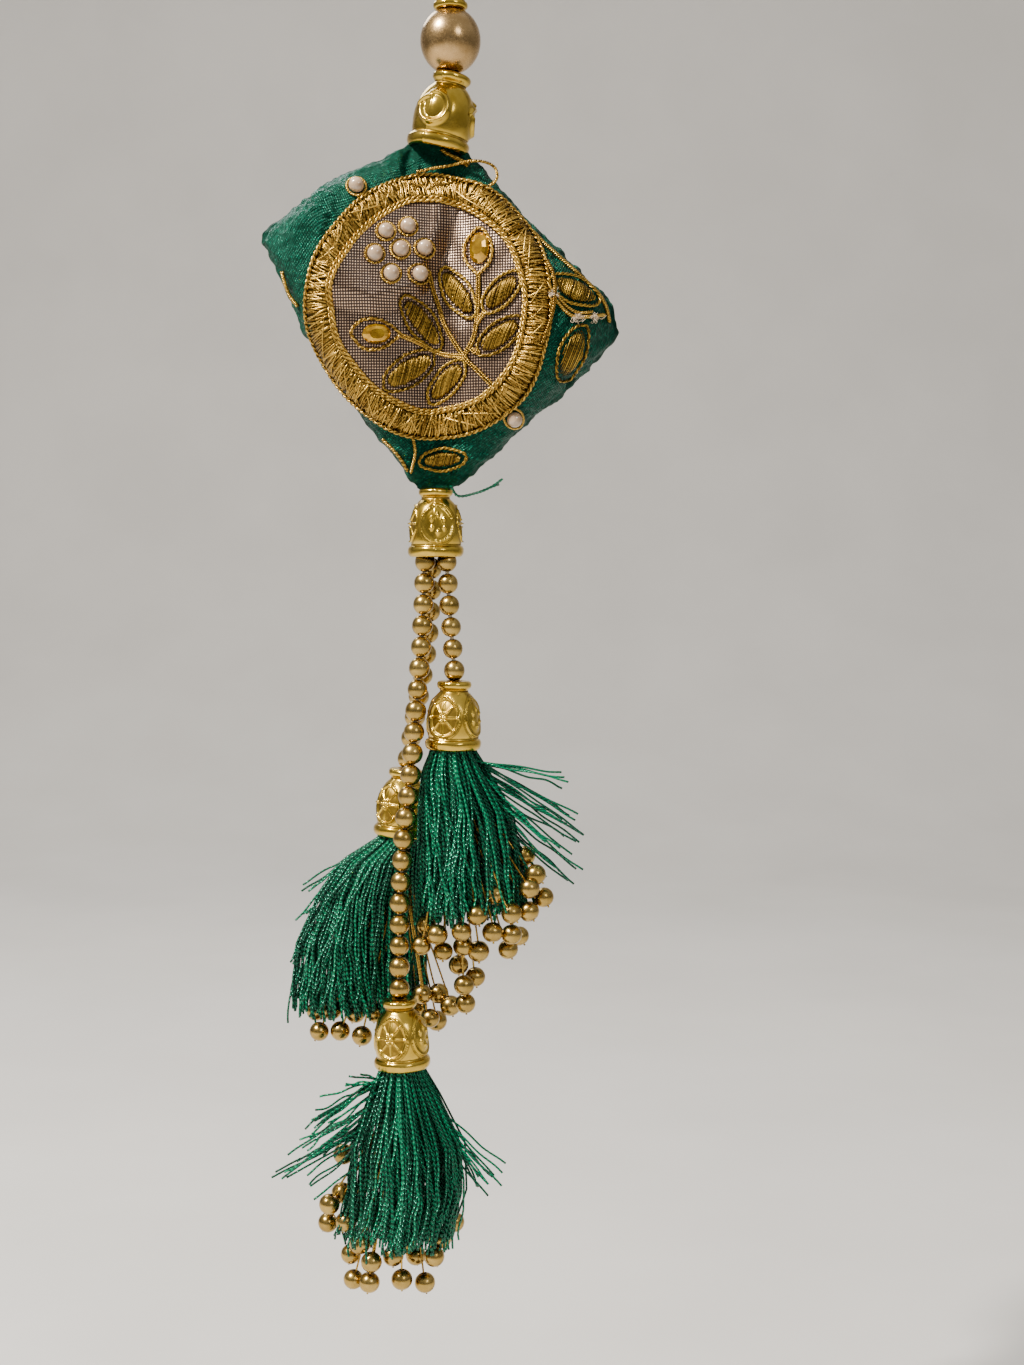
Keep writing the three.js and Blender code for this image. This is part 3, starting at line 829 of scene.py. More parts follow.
def make_cord_loop():
    """Twisted silk cord, doubled into a loop with both ends in the top cap's mouth."""
    mouth = box_of("top_bell_cap")[1][2] / MM
    leg_x, leg_end, cord_radius = 1.9, mouth - 8, 1.5
    route = [
        [-leg_x, 0, leg_end], [-leg_x, 0, mouth], [-3.4, 0, -14.5], [-5.9, 0, -8], [-5, 0, -1.6],
        [0, 0, cord_radius], [5, 0, -1.6], [5.9, 0, -8], [3.4, 0, -14.5], [leg_x, 0, mouth],
        [leg_x, 0, leg_end],
    ]
    path = smooth_curve(np.array(route) * MM, 90)
    mesh = cord_mesh(path, cord_radius * MM, hint=(0, 1, 0), lay=7 * MM, plies=3)
    verts, faces, attributes = mesh
    loop = piece("hanging_loop_cord", (verts, faces, attributes), "silk_cord", "root",
                 ("hanging_loop",))


# ---------------------------------------------------------------- cushion

GRID = 80
CLOTH_SCALE = 20.0
CLOTH_FRAMES = 26
CLOTH_PRESSURE = 9.0
SEAM_LIFT = 0.25
HUNG_X = -2.0
CLOTH_SIDE = 50
BACK_WEAVE_START = 60
# Creases that part the medallion's ground into facets: route, height, and how far the cloth slopes
# away on the left and on the right of the route
CREASES = [
    ([(-23.0, -91.5), (-13.5, -94.0), (-5.0, -91.5), (-1.2, -80.5), (0.8, -71.0)], 2.3, 15.0, 3.6),
    ([(-5.0, -91.5), (4.0, -101.0), (10.5, -112.0)], 0.8, 5.0, 6.5),
]
TOP_TAB = [(-3.3, -58.4), (2.6, -58.4)]
CUSHION_SIDES = {
    "upper_right": [(2.6, -58.4), (4.2, -62.2), (6.4, -64.6), (10.5, -69.2), (19.0, -78.5),
                    (27.5, -87.0), (34.0, -93.5)],
    "right": [(34.0, -93.5), (35.6, -98.0), (34.8, -102.4)],
    "lower_right": [(34.8, -102.4), (25.0, -112.5), (16.5, -119.8), (8.8, -127.0), (2.8, -131.6)],
    "bottom": [(2.8, -131.6), (-1.1, -132.4), (-4.8, -131.6)],
    "lower_left": [(-4.8, -131.6), (-10.4, -124.5), (-19.0, -113.5), (-27.5, -100.5), (-32.0, -90.5),
                   (-35.0, -84.0)],
    "left": [(-35.0, -84.0), (-36.2, -82.0), (-35.2, -79.4)],
    "upper_left": [(-35.2, -79.4), (-28.5, -74.2), (-19.5, -68.4), (-9.4, -64.0),
                   (-6.6, -62.4), (-4.6, -61.2), (-3.3, -58.4)],
}


def flat_grid():
    """Coons patch of the cushion's outline, [GRID + 1, GRID + 1, 2] in mm, and the weave's own place."""
    right = CUSHION_SIDES["upper_right"] + CUSHION_SIDES["right"][1:2]
    lower_right = CUSHION_SIDES["right"][1:2] + CUSHION_SIDES["lower_right"] + CUSHION_SIDES["bottom"][1:2]
    left = CUSHION_SIDES["upper_left"][::-1][1:] + CUSHION_SIDES["left"][1:2]
    lower_left = CUSHION_SIDES["bottom"][1:2] + CUSHION_SIDES["lower_left"] + CUSHION_SIDES["left"][1:2]
    count = GRID + 1
    top = smooth_curve(TOP_TAB + right[1:], count)
    bottom = smooth_curve(lower_left[::-1], count)
    start = smooth_curve([TOP_TAB[0]] + left, count)
    end = smooth_curve(lower_right, count)
    u = np.linspace(0, 1, count)[:, None, None]
    v = np.linspace(0, 1, count)[None, :, None]
    ruled_u = (1 - v) * top[:, None] + v * bottom[:, None]
    ruled_v = (1 - u) * start[None] + u * end[None]
    corners = ((1 - u) * (1 - v) * top[0] + u * (1 - v) * top[-1]
               + (1 - u) * v * bottom[0] + u * v * bottom[-1])
    return ruled_u + ruled_v - corners


def pillow_faces():
    """Faces of the front and back sheet, which share their edge points."""
    count = GRID + 1
    front = np.arange(count * count).reshape(count, count)
    back = front.copy()
    inner = np.arange((count - 2) * (count - 2)).reshape(count - 2, count - 2) + count * count
    back[1:-1, 1:-1] = inner
    faces = []
    for sheet, flip in ((front, False), (back, True)):
        a, b, c, d = sheet[:-1, :-1], sheet[1:, :-1], sheet[1:, 1:], sheet[:-1, 1:]
        rows = np.stack([a, b, c, d] if not flip else [d, c, b, a], axis=-1)
        faces += rows.reshape(-1, 4).tolist()
    return faces, front, back


def sewn_pillow():
    """Flat pillow of two sheets sewn at the edge, in metres, before it is filled."""
    flat = flat_grid()
    from_edge = np.minimum(np.arange(GRID + 1), GRID - np.arange(GRID + 1))
    rows_from_edge = np.minimum(from_edge[:, None], from_edge[None, :])
    rise = SEAM_LIFT * np.minimum(rows_from_edge, 4) / 4
    x = flat[..., 0] + HUNG_X
    z = flat[..., 1]
    front = np.stack([x, -rise, z], axis=-1).reshape(-1, 3)
    back = np.stack([x, rise, z], axis=-1)[1:-1, 1:-1].reshape(-1, 3)
    verts = np.concatenate([front, back]) * MM
    run = np.arange(GRID + 1) * CLOTH_SIDE / GRID
    uv_front = np.stack(np.meshgrid(run, run, indexing="ij"), axis=-1)
    uv_back = uv_front[1:-1, 1:-1] + vec(0, BACK_WEAVE_START)
    uv = np.concatenate([uv_front.reshape(-1, 2), uv_back.reshape(-1, 2)])
    return verts, uv


def cloth_filled(verts, faces):
    """The pillow filled by a seeded cloth simulation under inner pressure, both ends held."""
    made = raw_object("pillow_in_work", verts * CLOTH_SCALE, faces, [])
    held = made.vertex_groups.new(name="held")
    top, bottom = verts[:, 2].max(), verts[:, 2].min()
    ends = np.where((verts[:, 2] > top - 4.5 * MM) | (verts[:, 2] < bottom + 1.5 * MM))[0]
    held.add(ends.tolist(), 1.0, "REPLACE")
    cloth = made.modifiers.new("cloth", "CLOTH")
    settings = cloth.settings
    settings.quality = 6
    settings.mass = 0.2
    settings.tension_stiffness = 45
    settings.compression_stiffness = 45
    settings.shear_stiffness = 18
    settings.bending_stiffness = 0.1
    settings.air_damping = 3
    settings.use_pressure = True
    settings.uniform_pressure_force = CLOTH_PRESSURE
    settings.vertex_group_mass = "held"
    settings.effector_weights.gravity = 0
    cloth.collision_settings.use_collision = False
    cloth.point_cache.frame_start = 1
    cloth.point_cache.frame_end = CLOTH_FRAMES
    scene = bpy.context.scene
    for step in range(1, CLOTH_FRAMES + 1):
        scene.frame_set(step)
    ready = made.evaluated_get(bpy.context.evaluated_depsgraph_get())
    filled = np.zeros(len(verts) * 3)
    ready.data.vertices.foreach_get("co", filled)
    scene.frame_set(1)
    bpy.data.objects.remove(made)
    return filled.reshape(-1, 3) / CLOTH_SCALE


def blurred_along(side):
    """One side's shifts, evened out along the side but kept at its two ends."""
    even = side.copy()
    for _ in range(6):
        even[1:-1] = (even[:-2] + 2 * even[1:-1] + even[2:]) / 4
    return even


def spread_inwards(shift):
    """Shifts of the four sides of a grid carried smoothly over its whole area."""
    u = np.linspace(0, 1, GRID + 1)[:, None, None]
    v = np.linspace(0, 1, GRID + 1)[None, :, None]
    ruled_u = (1 - v) * blurred_along(shift[:, 0])[:, None] + v * blurred_along(shift[:, -1])[:, None]
    ruled_v = (1 - u) * blurred_along(shift[0])[None] + u * blurred_along(shift[-1])[None]
    corners = ((1 - u) * (1 - v) * shift[0, 0] + u * (1 - v) * shift[-1, 0]
               + (1 - u) * v * shift[0, -1] + u * v * shift[-1, -1])
    return ruled_u + ruled_v - corners


def fitted(filled, verts, front, back, depth_front, depth_back):
    """The filled pillow drawn back to its outline, which the filling pulled in, and to its depth."""
    out = filled.copy()
    shift = spread_inwards((verts - filled)[front][..., [0, 2]])
    for sheet, inner in ((front, slice(None)), (back, slice(1, -1))):
        index = sheet[inner, inner]
        out[index, 0] = filled[index, 0] + shift[inner, inner, 0]
        out[index, 2] = filled[index, 2] + shift[inner, inner, 1]
    forward = filled[:, 1] < 0
    out[:, 1] *= np.where(forward, depth_front / -filled[:, 1].min(), depth_back / filled[:, 1].max())
    return out


def smoothed(values, passes):
    """A grid of heights, each pass a small blur."""
    for _ in range(passes):
        p = np.pad(values, 1, mode="edge")
        values = (p[1:-1, 1:-1] * 4 + p[:-2, 1:-1] * 2 + p[2:, 1:-1] * 2 + p[1:-1, :-2] * 2
                  + p[1:-1, 2:] * 2 + p[:-2, :-2] + p[2:, 2:] + p[:-2, 2:] + p[2:, :-2]) / 16
    return values


class Front:
    """Height of the cushion's front as a smooth field over x and z, in mm, for what is sewn onto it."""

    STEP = 0.5

    def __init__(self, verts, faces):
        tree = BVHTree.FromPolygons([tuple(v) for v in verts], faces)
        low, high = verts.min(0) / MM - 4, verts.max(0) / MM + 4
        self.x0, self.z0 = low[0], low[2]
        self.nx = int((high[0] - low[0]) / self.STEP) + 2
        self.nz = int((high[2] - low[2]) / self.STEP) + 2
        heights = np.full((self.nx, self.nz), np.nan)
        for i in range(self.nx):
            for j in range(self.nz):
                origin = Vector(((self.x0 + i * self.STEP) * MM, -0.1, (self.z0 + j * self.STEP) * MM))
                hit = tree.ray_cast(origin, Vector((0, 1, 0)))
                if hit[0] is not None:
                    heights[i, j] = hit[0].y / MM
        self.raw = self.grown_outwards(heights)
        self.heights = smoothed(self.raw, 9)

    def grown_outwards(self, heights):
        """Fills the places beyond the edge from their neighbours."""
        known = ~np.isnan(heights)
        values = np.where(known, heights, 0.0)
        for _ in range(24):
            p, k = np.pad(values * known, 1), np.pad(known.astype(float), 1)
            total = p[:-2, 1:-1] + p[2:, 1:-1] + p[1:-1, :-2] + p[1:-1, 2:]
            weight = k[:-2, 1:-1] + k[2:, 1:-1] + k[1:-1, :-2] + k[1:-1, 2:]
            new = ~known & (weight > 0)
            values = np.where(new, total / np.maximum(weight, 1), values)
            known = known | new
        return np.where(known, values, 0.0)

    def ridge(self, x, z):
        """Height that the creases of the medallion add."""
        best = np.zeros_like(x)
        for route, height, reach_left, reach_right in CREASES:
            nearest = np.full_like(x, 1e9)
            crest = np.zeros_like(x)
            for (ax, az), (bx, bz) in zip(route[:-1], route[1:]):
                run = (bx - ax) ** 2 + (bz - az) ** 2
                t = np.clip(((x - ax) * (bx - ax) + (z - az) * (bz - az)) / run, 0, 1)
                away = np.hypot(x - ax - t * (bx - ax), z - az - t * (bz - az))
                left = (bx - ax) * (z - az) - (bz - az) * (x - ax) > 0
                rise = height * np.clip(1 - away / np.where(left, reach_left, reach_right), 0, 1)
                crest = np.where(away < nearest, rise, crest)
                nearest = np.minimum(nearest, away)
            best = np.maximum(best, crest)
        return best * np.clip((0.9 - medallion_share(x, z)) / 0.12, 0, 1)

    def read(self, field, x, z):
        u = np.clip((x - self.x0) / self.STEP, 0, self.nx - 1.001)
        v = np.clip((z - self.z0) / self.STEP, 0, self.nz - 1.001)
        i, j = u.astype(int), v.astype(int)
        fu, fv = u - i, v - j
        return (field[i, j] * (1 - fu) * (1 - fv) + field[i + 1, j] * fu * (1 - fv)
                + field[i, j + 1] * (1 - fu) * fv + field[i + 1, j + 1] * fu * fv)

    def height(self, x, z):
        return self.read(self.heights, x, z) - self.ridge(x - HUNG_X, z)

    def slopes(self, x, z):
        e = 0.6
        return ((self.height(x + e, z) - self.height(x - e, z)) / (2 * e),
                (self.height(x, z + e) - self.height(x, z - e)) / (2 * e))

    def steepness(self, x, z):
        """Share of a step straight forwards that leads away from the surface."""
        slope_x, slope_z = self.slopes(x, z)
        return np.clip(1 / np.sqrt(1 + slope_x ** 2 + slope_z ** 2), 0.3, 1)

    def on(self, points, lift):
        """Points [.., 2] of the hung frame put onto the front, lifted off it by lift, in metres."""
        points = np.asarray(points, float)
        x, z = points[..., 0] + HUNG_X, points[..., 1]
        y = self.height(x, z)
        slope_x, slope_z = self.slopes(x, z)
        normal = unit(np.stack([slope_x, -np.ones_like(y), slope_z], axis=-1))
        return (np.stack([x, y, z], axis=-1) + normal * np.asarray(lift)[..., None]) * MM


def make_cushion():
    """Sewn, filled cushion of green silk; returns the front that the embroidery lies on."""
    verts, uv = sewn_pillow()
    faces, front_sheet, back_sheet = pillow_faces()
    cover_low = box_of("cushion_front_cover")[0]
    cover_high = box_of("cushion_back_cover")[1]
    depth_front, depth_back = -cover_low[1] - 0.6 * MM, cover_high[1] - 0.4 * MM
    filled = cloth_filled(verts, faces)
    filled = fitted(filled, verts, front_sheet, back_sheet, depth_front, depth_back)
    front = Front(filled, faces)
    share = medallion_share(filled[:, 0] / MM - HUNG_X, filled[:, 2] / MM)
    facing = np.arange(len(filled)) < (GRID + 1) ** 2
    x, z = filled[:, 0] / MM, filled[:, 2] / MM
    seat = (front.height(x, z) + 0.5 / front.steepness(x, z)) * MM
    filled[:, 1] = np.where((share < 0.99) & facing, np.maximum(filled[:, 1], seat), filled[:, 1])
    cushion = piece("cushion_silk", (filled, faces, {}), "silk", "cushion",
                    ("cushion_front_cover", "cushion_back_cover", "cushion_filling"), uv=uv)
    crinkle(cushion)
    return front


def made_real(made):
    """The object's modifiers worked into its mesh."""
    ready = made.evaluated_get(bpy.context.evaluated_depsgraph_get())
    mesh = bpy.data.meshes.new_from_object(ready)
    made.modifiers.clear()
    made.data = mesh


def crinkle(cushion):
    """Small gathers and crinkles of the silk as real relief, wherever no embroidery holds it flat."""
    finer = cushion.modifiers.new("finer", "SUBSURF")
    finer.levels = finer.render_levels = 2
    made_real(cushion)
    mesh = cushion.data
    points = np.zeros(len(mesh.vertices) * 3)
    mesh.vertices.foreach_get("co", points)
    points = points.reshape(-1, 3)
    normals = np.zeros(len(mesh.vertices) * 3)
    mesh.vertices.foreach_get("normal", normals)
    share = medallion_share(points[:, 0] / MM - HUNG_X, points[:, 2] / MM)
    freedom = np.where(points[:, 1] < 0, np.clip((share - 0.98) / 0.08, 0, 1), 1.0)
    relief = np.zeros(len(points))
    for size, height in ((3.4, 0.55), (1.2, 0.3)):
        relief += height * np.array([noise.noise(Vector(point) / (size * MM)) for point in points])
    points += normals.reshape(-1, 3) * (relief * freedom * MM)[:, None]
    mesh.vertices.foreach_set("co", points.ravel())
    mesh.update()


# ---------------------------------------------------------------- embroidery

RING_CENTRE = (-2.2, -95.3)
RING_HALF_WIDTH = 24.2
RING_HALF_HEIGHT = 26.4
RING_INNER = 0.81
TISSUE_SHARE = 0.88
STITCH_RADIUS = 0.15
COUCHED_RADIUS = 0.46

# Each leaf: its tip, its other end and its half width
LEAVES_ON_TISSUE = [
    ((0.3, -87.9), (6.9, -97.9), 2.7), ((9.0, -97.0), (15.8, -89.4), 2.5),
    ((7.8, -105.1), (16.3, -98.5), 2.6), ((-7.4, -93.7), (0.1, -103.9), 2.7),
    ((-11.1, -111.8), (-1.4, -104.7), 2.9), ((-2.4, -114.5), (5.1, -106.6), 2.6),
]
LEAVES_ON_SILK = [
    ((21.7, -90.8), (31.3, -94.8), 2.6), ((28.4, -99.7), (23.8, -110.1), 2.4),
    ((-4.5, -126.2), (5.3, -125.4), 2.2),
]
STEMS = [
    [(10.7, -111.6), (8.2, -108.9), (5.1, -105.6), (1.2, -99.2), (-1.6, -92.3), (-2.6, -88.6)],
    [(5.1, -105.6), (6.9, -102.0), (7.7, -97.0), (7.9, -89.6)],
    [(5.1, -105.6), (1.8, -105.2), (-1.6, -104.1), (-5.2, -102.4), (-8.4, -101.2)],
    [(7.4, -99.4), (8.4, -98.0), (9.4, -96.8)],
    [(6.5, -104.2), (7.2, -104.9), (8.2, -105.0)],
]
FLOWER_PEARLS = [(-10.7, -81.1), (-6.4, -80.0), (-3.2, -84.2), (-7.8, -84.6), (-12.8, -85.7), (-9.6, -89.6),
                 (-4.3, -89.4)]
EDGE_PEARLS = [(-16.6, -72.2), (14.6, -117.6)]
PEARL_RADIUS = 1.55
# Each crystal: its centre, long direction, length and width
CRYSTALS = [((8.1, -84.2), (0.05, 1.0), 6.2, 3.9), ((-12.6, -101.2), (1.0, 0.05), 5.6, 3.9)]
# The corded teardrop round each crystal
DROPS = [
    [(7.8, -89.6), (5.4, -86.6), (5.2, -83.4), (7.0, -80.9), (8.2, -80.2), (9.6, -81.6), (10.6, -84.4),
     (10.0, -87.2), (7.8, -89.6)],
    [(-7.9, -101.3), (-11.2, -103.8), (-14.8, -104.2), (-17.0, -102.2), (-17.4, -100.6), (-15.4, -98.6),
     (-12.2, -98.4), (-9.4, -99.8), (-7.9, -101.3)],
]


def ring_reach(turn):
    """The medallion was cut by hand: flatter to the left, fuller to the lower right."""
    diagonal = np.sin(2 * turn) ** 2
    return 1 + diagonal * np.where(np.cos(turn) < 0, -0.045, np.where(np.sin(turn) < 0, 0.04, 0.0))


def medallion_share(x, z):
    """How far out of the medallion a place is: 0 at its centre, 1 at its edge."""
    across, up = (x - RING_CENTRE[0]) / RING_HALF_WIDTH, (z - RING_CENTRE[1]) / RING_HALF_HEIGHT
    return np.hypot(across, up) / ring_reach(np.arctan2(up, across))


def ring_point(turn, share):
    reach = share * ring_reach(turn)
    return np.stack([RING_CENTRE[0] + RING_HALF_WIDTH * reach * np.cos(turn),
                     RING_CENTRE[1] + RING_HALF_HEIGHT * reach * np.sin(turn)], axis=-1)


def closed_skin(face, back):
    """Two equal grids of points that close round in their second direction, joined as a thin solid."""
    rows = np.concatenate([face, back[::-1]])
    return rows.reshape(-1, 3), closed_quads(*rows.shape[:2]).tolist()


def make_tissue(front):
    """Round ground of metallic tissue, tucked under the satin border."""
    shares = np.linspace(0.005, TISSUE_SHARE, 70)[:, None]
    turns = (np.arange(180) * math.pi / 90)[None, :]
    plan = ring_point(turns, shares)
    wobble = 0.12 * np.sin(plan[..., 0] * 0.9) * np.sin(plan[..., 1] * 0.7)
    verts, faces = closed_skin(front.on(plan, 0.3 + wobble), front.on(plan, 0.12 + wobble))
    uv = np.concatenate([plan, plan[::-1]]).reshape(-1, 2)
    made = piece("medallion_tissue", (verts, faces, {}), "tissue", "cushion",
                 ("medallion",), uv=uv)


def stitches(front, starts, ends, arch, base, radius=STITCH_RADIUS):
    """Satin stitches from starts to ends, [k, 2] each, arched above the cloth."""
    t = np.linspace(0, 1, 8)
    plan = starts[:, None] + (ends - starts)[:, None] * t[None, :, None]
    each = (len(starts), 1)
    lift = base + arch * np.sin(math.pi * t)[None, :] ** 0.6 * (1 + 0.25 * RNG.normal(size=each))
    taper = np.minimum(1, 0.5 + 3 * np.minimum(t, 1 - t))
    thick = radius * (0.85 + 0.3 * RNG.random(each)) * taper
    return tube_mesh(front.on(plan, lift), thick * MM, 5)


def make_border(front):
    """Satin-stitched border of the medallion on a low padding, with a cord along each edge."""
    count = 420
    turn = np.arange(count) * 2 * math.pi / count + RNG.normal(0, 0.005, count)
    slant = 0.06 * np.sin(turn * 3) + RNG.normal(0, 0.035, count)
    inner = ring_point(turn + slant / 2, RING_INNER + RNG.normal(0, 0.006, count))
    outer = ring_point(turn - slant / 2, 1.0 - 0.012 + RNG.normal(0, 0.006, count))
    base = 0.5 + 0.25 * RNG.random((count, 1))
    parts = [stitches(front, inner, outer, 0.5, base, 0.19)]
    some = RNG.choice(count, 90, replace=False)
    lean = RNG.normal(0, 0.1, 90)
    parts.append(stitches(front, ring_point(turn[some] + lean, np.full(90, 0.84)),
                          ring_point(turn[some] - lean, np.full(90, 0.97)), 0.45, 0.9, 0.15))
    piece("medallion_border_stitches", joined(parts), "zari", "cushion")
    shares = np.array([0.8, 0.84, 0.9, 0.96, 1.0])[:, None]
    lifts = np.array([0.2, 0.62, 0.8, 0.62, 0.15])[:, None] + np.zeros((1, 240))
    plan = ring_point((np.arange(240) * math.pi / 120)[None, :], shares)
    verts, faces = closed_skin(front.on(plan, lifts), front.on(plan, 0 * lifts - 0.1))
    # The padding takes the darkest tone of dull gold, as painted shade in the gaps between the stitches.
    shade = np.full(len(verts), 0.1)
    attributes = {"shade": shade, "along": np.arange(len(verts)) % 240 * 0.6, "around": shade}
    piece("medallion_border_padding", (verts, faces, attributes), "zari_dull", "cushion")
    edges = []
    for share, lift in ((0.805, 0.75), (0.785, 0.6), (1.0, 0.55)):
        turns = np.linspace(0, 2 * math.pi, 200)
        wander = 0.004 * np.sin(turns * 11 + share * 9)
        path = front.on(ring_point(turns, share + wander), lift)
        edges.append(cord_mesh(path, COUCHED_RADIUS * MM, lay=2.4 * MM))
    piece("medallion_border_cords", joined(edges), "zari", "cushion")


def leaf_frame(tip, end):
    """Centre, long direction, cross direction and half length of a leaf."""
    a, b = vec(*tip), vec(*end)
    along = unit(b - a)
    return (a + b) / 2, along, vec(-along[1], along[0]), np.linalg.norm(b - a) / 2


def leaf_mesh(front, tip, end, half_width, base):
    """A leaf of upright satin stitches, with a couched cord round it at a small distance."""
    centre, along, across, half_length = leaf_frame(tip, end)
    a, b = half_length - 1.1, half_width - 0.75
    lean = vec(0.3 + RNG.normal(0, 0.08), 0.95)
    chord = unit(vec(lean @ along / a, lean @ across / b))
    beside = vec(-chord[1], chord[0])
    count = int(2 * np.hypot(a * beside[0], b * beside[1]) / 0.3)
    offset = np.linspace(-0.97, 0.97, count)[:, None] + RNG.normal(0, 0.012, (count, 1))
    reach = np.sqrt(np.clip(1 - offset ** 2, 0, 1)) * (1 + RNG.normal(0, 0.05, (count, 1)))
    plan = []
    for sign in (-1, 1):
        disc = beside * offset + sign * chord * reach
        plan.append(centre + a * disc[:, :1] * along + b * disc[:, 1:] * across)
    fill = stitches(front, plan[0], plan[1], 0.5, base + 0.15, 0.165)
    turn = np.linspace(0, 2 * math.pi, 90)[:, None]
    pointed = 1 - 0.16 * np.abs(np.cos(turn)) ** 6
    line = (centre + half_length * np.cos(turn) * along
            + half_width * pointed * np.sin(turn) * across + 0.1 * np.sin(5 * turn))
    cord = cord_mesh(front.on(line, base + 0.3), (COUCHED_RADIUS - 0.1) * MM)
    return [fill, cord]


def make_leaves(front):
    parts = []
    for tip, end, half_width in LEAVES_ON_TISSUE:
        parts += leaf_mesh(front, tip, end, half_width, 0.3)
    piece("tissue_leaves", joined(parts), "zari_dull", "cushion")
    parts = []
    for tip, end, half_width in LEAVES_ON_SILK:
        parts += leaf_mesh(front, tip, end, half_width, 0.35)
    piece("silk_leaves", joined(parts), "zari_dull", "cushion")


def make_stems(front):
    parts = []
    for route in STEMS:
        path = smooth_curve(route, 40)
        side = unit(np.gradient(path, axis=0))[:, ::-1] * vec(-1, 1)
        for shift in (-0.24, 0.24):
            parts.append(cord_mesh(front.on(path + side * shift, 0.6), 0.27 * MM, lay=0.9 * MM))
    for drop in DROPS:
        parts.append(cord_mesh(front.on(smooth_curve(drop, 70), 0.65), (COUCHED_RADIUS - 0.06) * MM))
    piece("stem_cords", joined(parts), "zari", "cushion")


def ball(centre, radius, flat=1.0):
    """Round solid at a place in metres, with real poles."""
    rows, sides = 18, 28
    angle = np.linspace(0.02, math.pi - 0.02, rows)
    ring = np.arange(sides) * 2 * math.pi / sides
    grid = np.stack([np.sin(angle)[:, None] * np.cos(ring), np.cos(angle)[:, None] * flat + 0 * ring,
                     np.sin(angle)[:, None] * np.sin(ring)], axis=-1) * radius
    index = np.arange(rows * sides).reshape(rows, sides)
    return grid.reshape(-1, 3) + centre, wrapped_quads(index).tolist() + end_faces(index), {}


def circle_path(front, centre, radius, lift, count=48):
    turn = np.linspace(0, 2 * math.pi, count)
    plan = vec(*centre) + radius * np.stack([np.cos(turn), np.sin(turn)], axis=-1)
    return front.on(plan, lift)


def make_pearls(front):
    balls, rings = [], []
    for place in FLOWER_PEARLS + EDGE_PEARLS:
        size = PEARL_RADIUS * (1 + RNG.normal(0, 0.02))
        balls.append(ball(front.on(place, 0.3 + size * 0.42), size * MM, 0.85))
        rings.append(cord_mesh(circle_path(front, place, size + 0.3, 0.55), 0.29 * MM, lay=0.9 * MM))
    piece("pearls", joined(balls), "pearl", "cushion")
    piece("pearl_rings", joined(rings), "zari", "cushion")


def crystal_mesh(front, centre, direction, length, width):
    """Faceted navette stone: a flat table, a ring of crown facets and a girdle."""
    along = unit(vec(*direction))
    across = vec(-along[1], along[0])
    count = 12
    turn = np.arange(count) * 2 * math.pi / count
    pointed = np.sign(np.cos(turn)) * np.abs(np.cos(turn)) ** 0.75
    round_side = np.sign(np.sin(turn)) * np.abs(np.sin(turn)) ** 1.15
    rows = []
    for share, lift in ((1.0, 0.35), (1.0, 0.75), (0.78, 1.35), (0.5, 1.75)):
        plan = (vec(*centre) + share * length / 2 * pointed[:, None] * along
                + share * width / 2 * round_side[:, None] * across)
        rows.append(front.on(plan, np.full(count, lift)))
    index = np.arange(len(rows) * count).reshape(-1, count)
    quads = wrapped_quads(index)
    faces = np.concatenate([quads[:, [0, 1, 2]], quads[:, [0, 2, 3]]]).tolist()
    return np.concatenate(rows), faces + end_faces(index), {}


def make_crystals(front):
    stones = [crystal_mesh(front, *crystal) for crystal in CRYSTALS]
    piece("amber_crystals", joined(stones), "amber", "cushion", smooth=False)


# Loose and couched cords on the silk: route in mm on the front, then height above it at each point
SILK_CORDS = {
    "top_loose_thread": ([(-5.0, -68.6), (-1.1, -68.0), (4.9, -67.5), (9.0, -67.4), (10.6, -68.0),
                          (10.9, -69.4), (10.4, -70.8), (9.5, -71.8)],
                         [1.3, 1.5, 2.0, 2.3, 2.3, 2.0, 1.4, 0.9], 0.34),
    "cap_edge_cord": ([(0.2, -63.6), (1.3, -64.5), (2.8, -65.3), (4.1, -66.2), (5.6, -67.3)],
                      [1.1, 1.1, 1.1, 1.0, 0.8], 0.52),
    "right_arc_cord": ([(22.6, -94.6), (24.9, -97.2), (26.8, -98.2), (29.8, -97.8), (32.3, -97.2)],
                       [0.7, 0.6, 0.6, 0.6, 0.6], 0.4),
    "right_arc_cord_inner": ([(22.9, -93.8), (25.2, -96.3), (27.4, -97.3), (30.0, -96.9)],
                             [0.7, 0.6, 0.6, 0.6], 0.34),
    "left_edge_cord": ([(-31.2, -88.6), (-30.3, -91.1), (-29.4, -93.3), (-28.2, -95.3)],
                       [0.4, 0.7, 0.7, 0.4], 0.42),
    "bottom_cord_1": ([(-5.7, -121.6), (-5.3, -124.2), (-5.7, -127.0), (-6.0, -128.4)],
                      [0.8, 0.7, 0.7, 0.6], 0.36),
    "bottom_cord_2": ([(-11.4, -121.6), (-9.6, -123.4), (-7.9, -125.6), (-6.6, -128.0)],
                      [0.6, 0.6, 0.6, 0.6], 0.4),
    "upper_right_edge_cord": ([(18.2, -80.7), (21.1, -83.6), (24.9, -87.2), (29.2, -91.0), (32.4, -94.6),
                               (33.6, -98.4)],
                              [0.5, 0.5, 0.5, 0.5, 0.5, 0.5], 0.46),
    "ring_right_overlap": ([(20.9, -87.6), (22.4, -91.0), (22.6, -95.2), (21.8, -99.6), (20.4, -103.6)],
                           [1.4, 1.5, 1.5, 1.4, 1.2], 0.42),
}


def make_silk_cords(front):
    for name, (route, lifts, radius) in SILK_CORDS.items():
        path = smooth_curve(route, 60)
        height = np.interp(np.linspace(0, 1, 60), np.linspace(0, 1, len(lifts)), lifts)
        mesh = cord_mesh(front.on(path, height), radius * MM, lay=1.0 * MM)
        piece(name, mesh, "zari", "cushion")


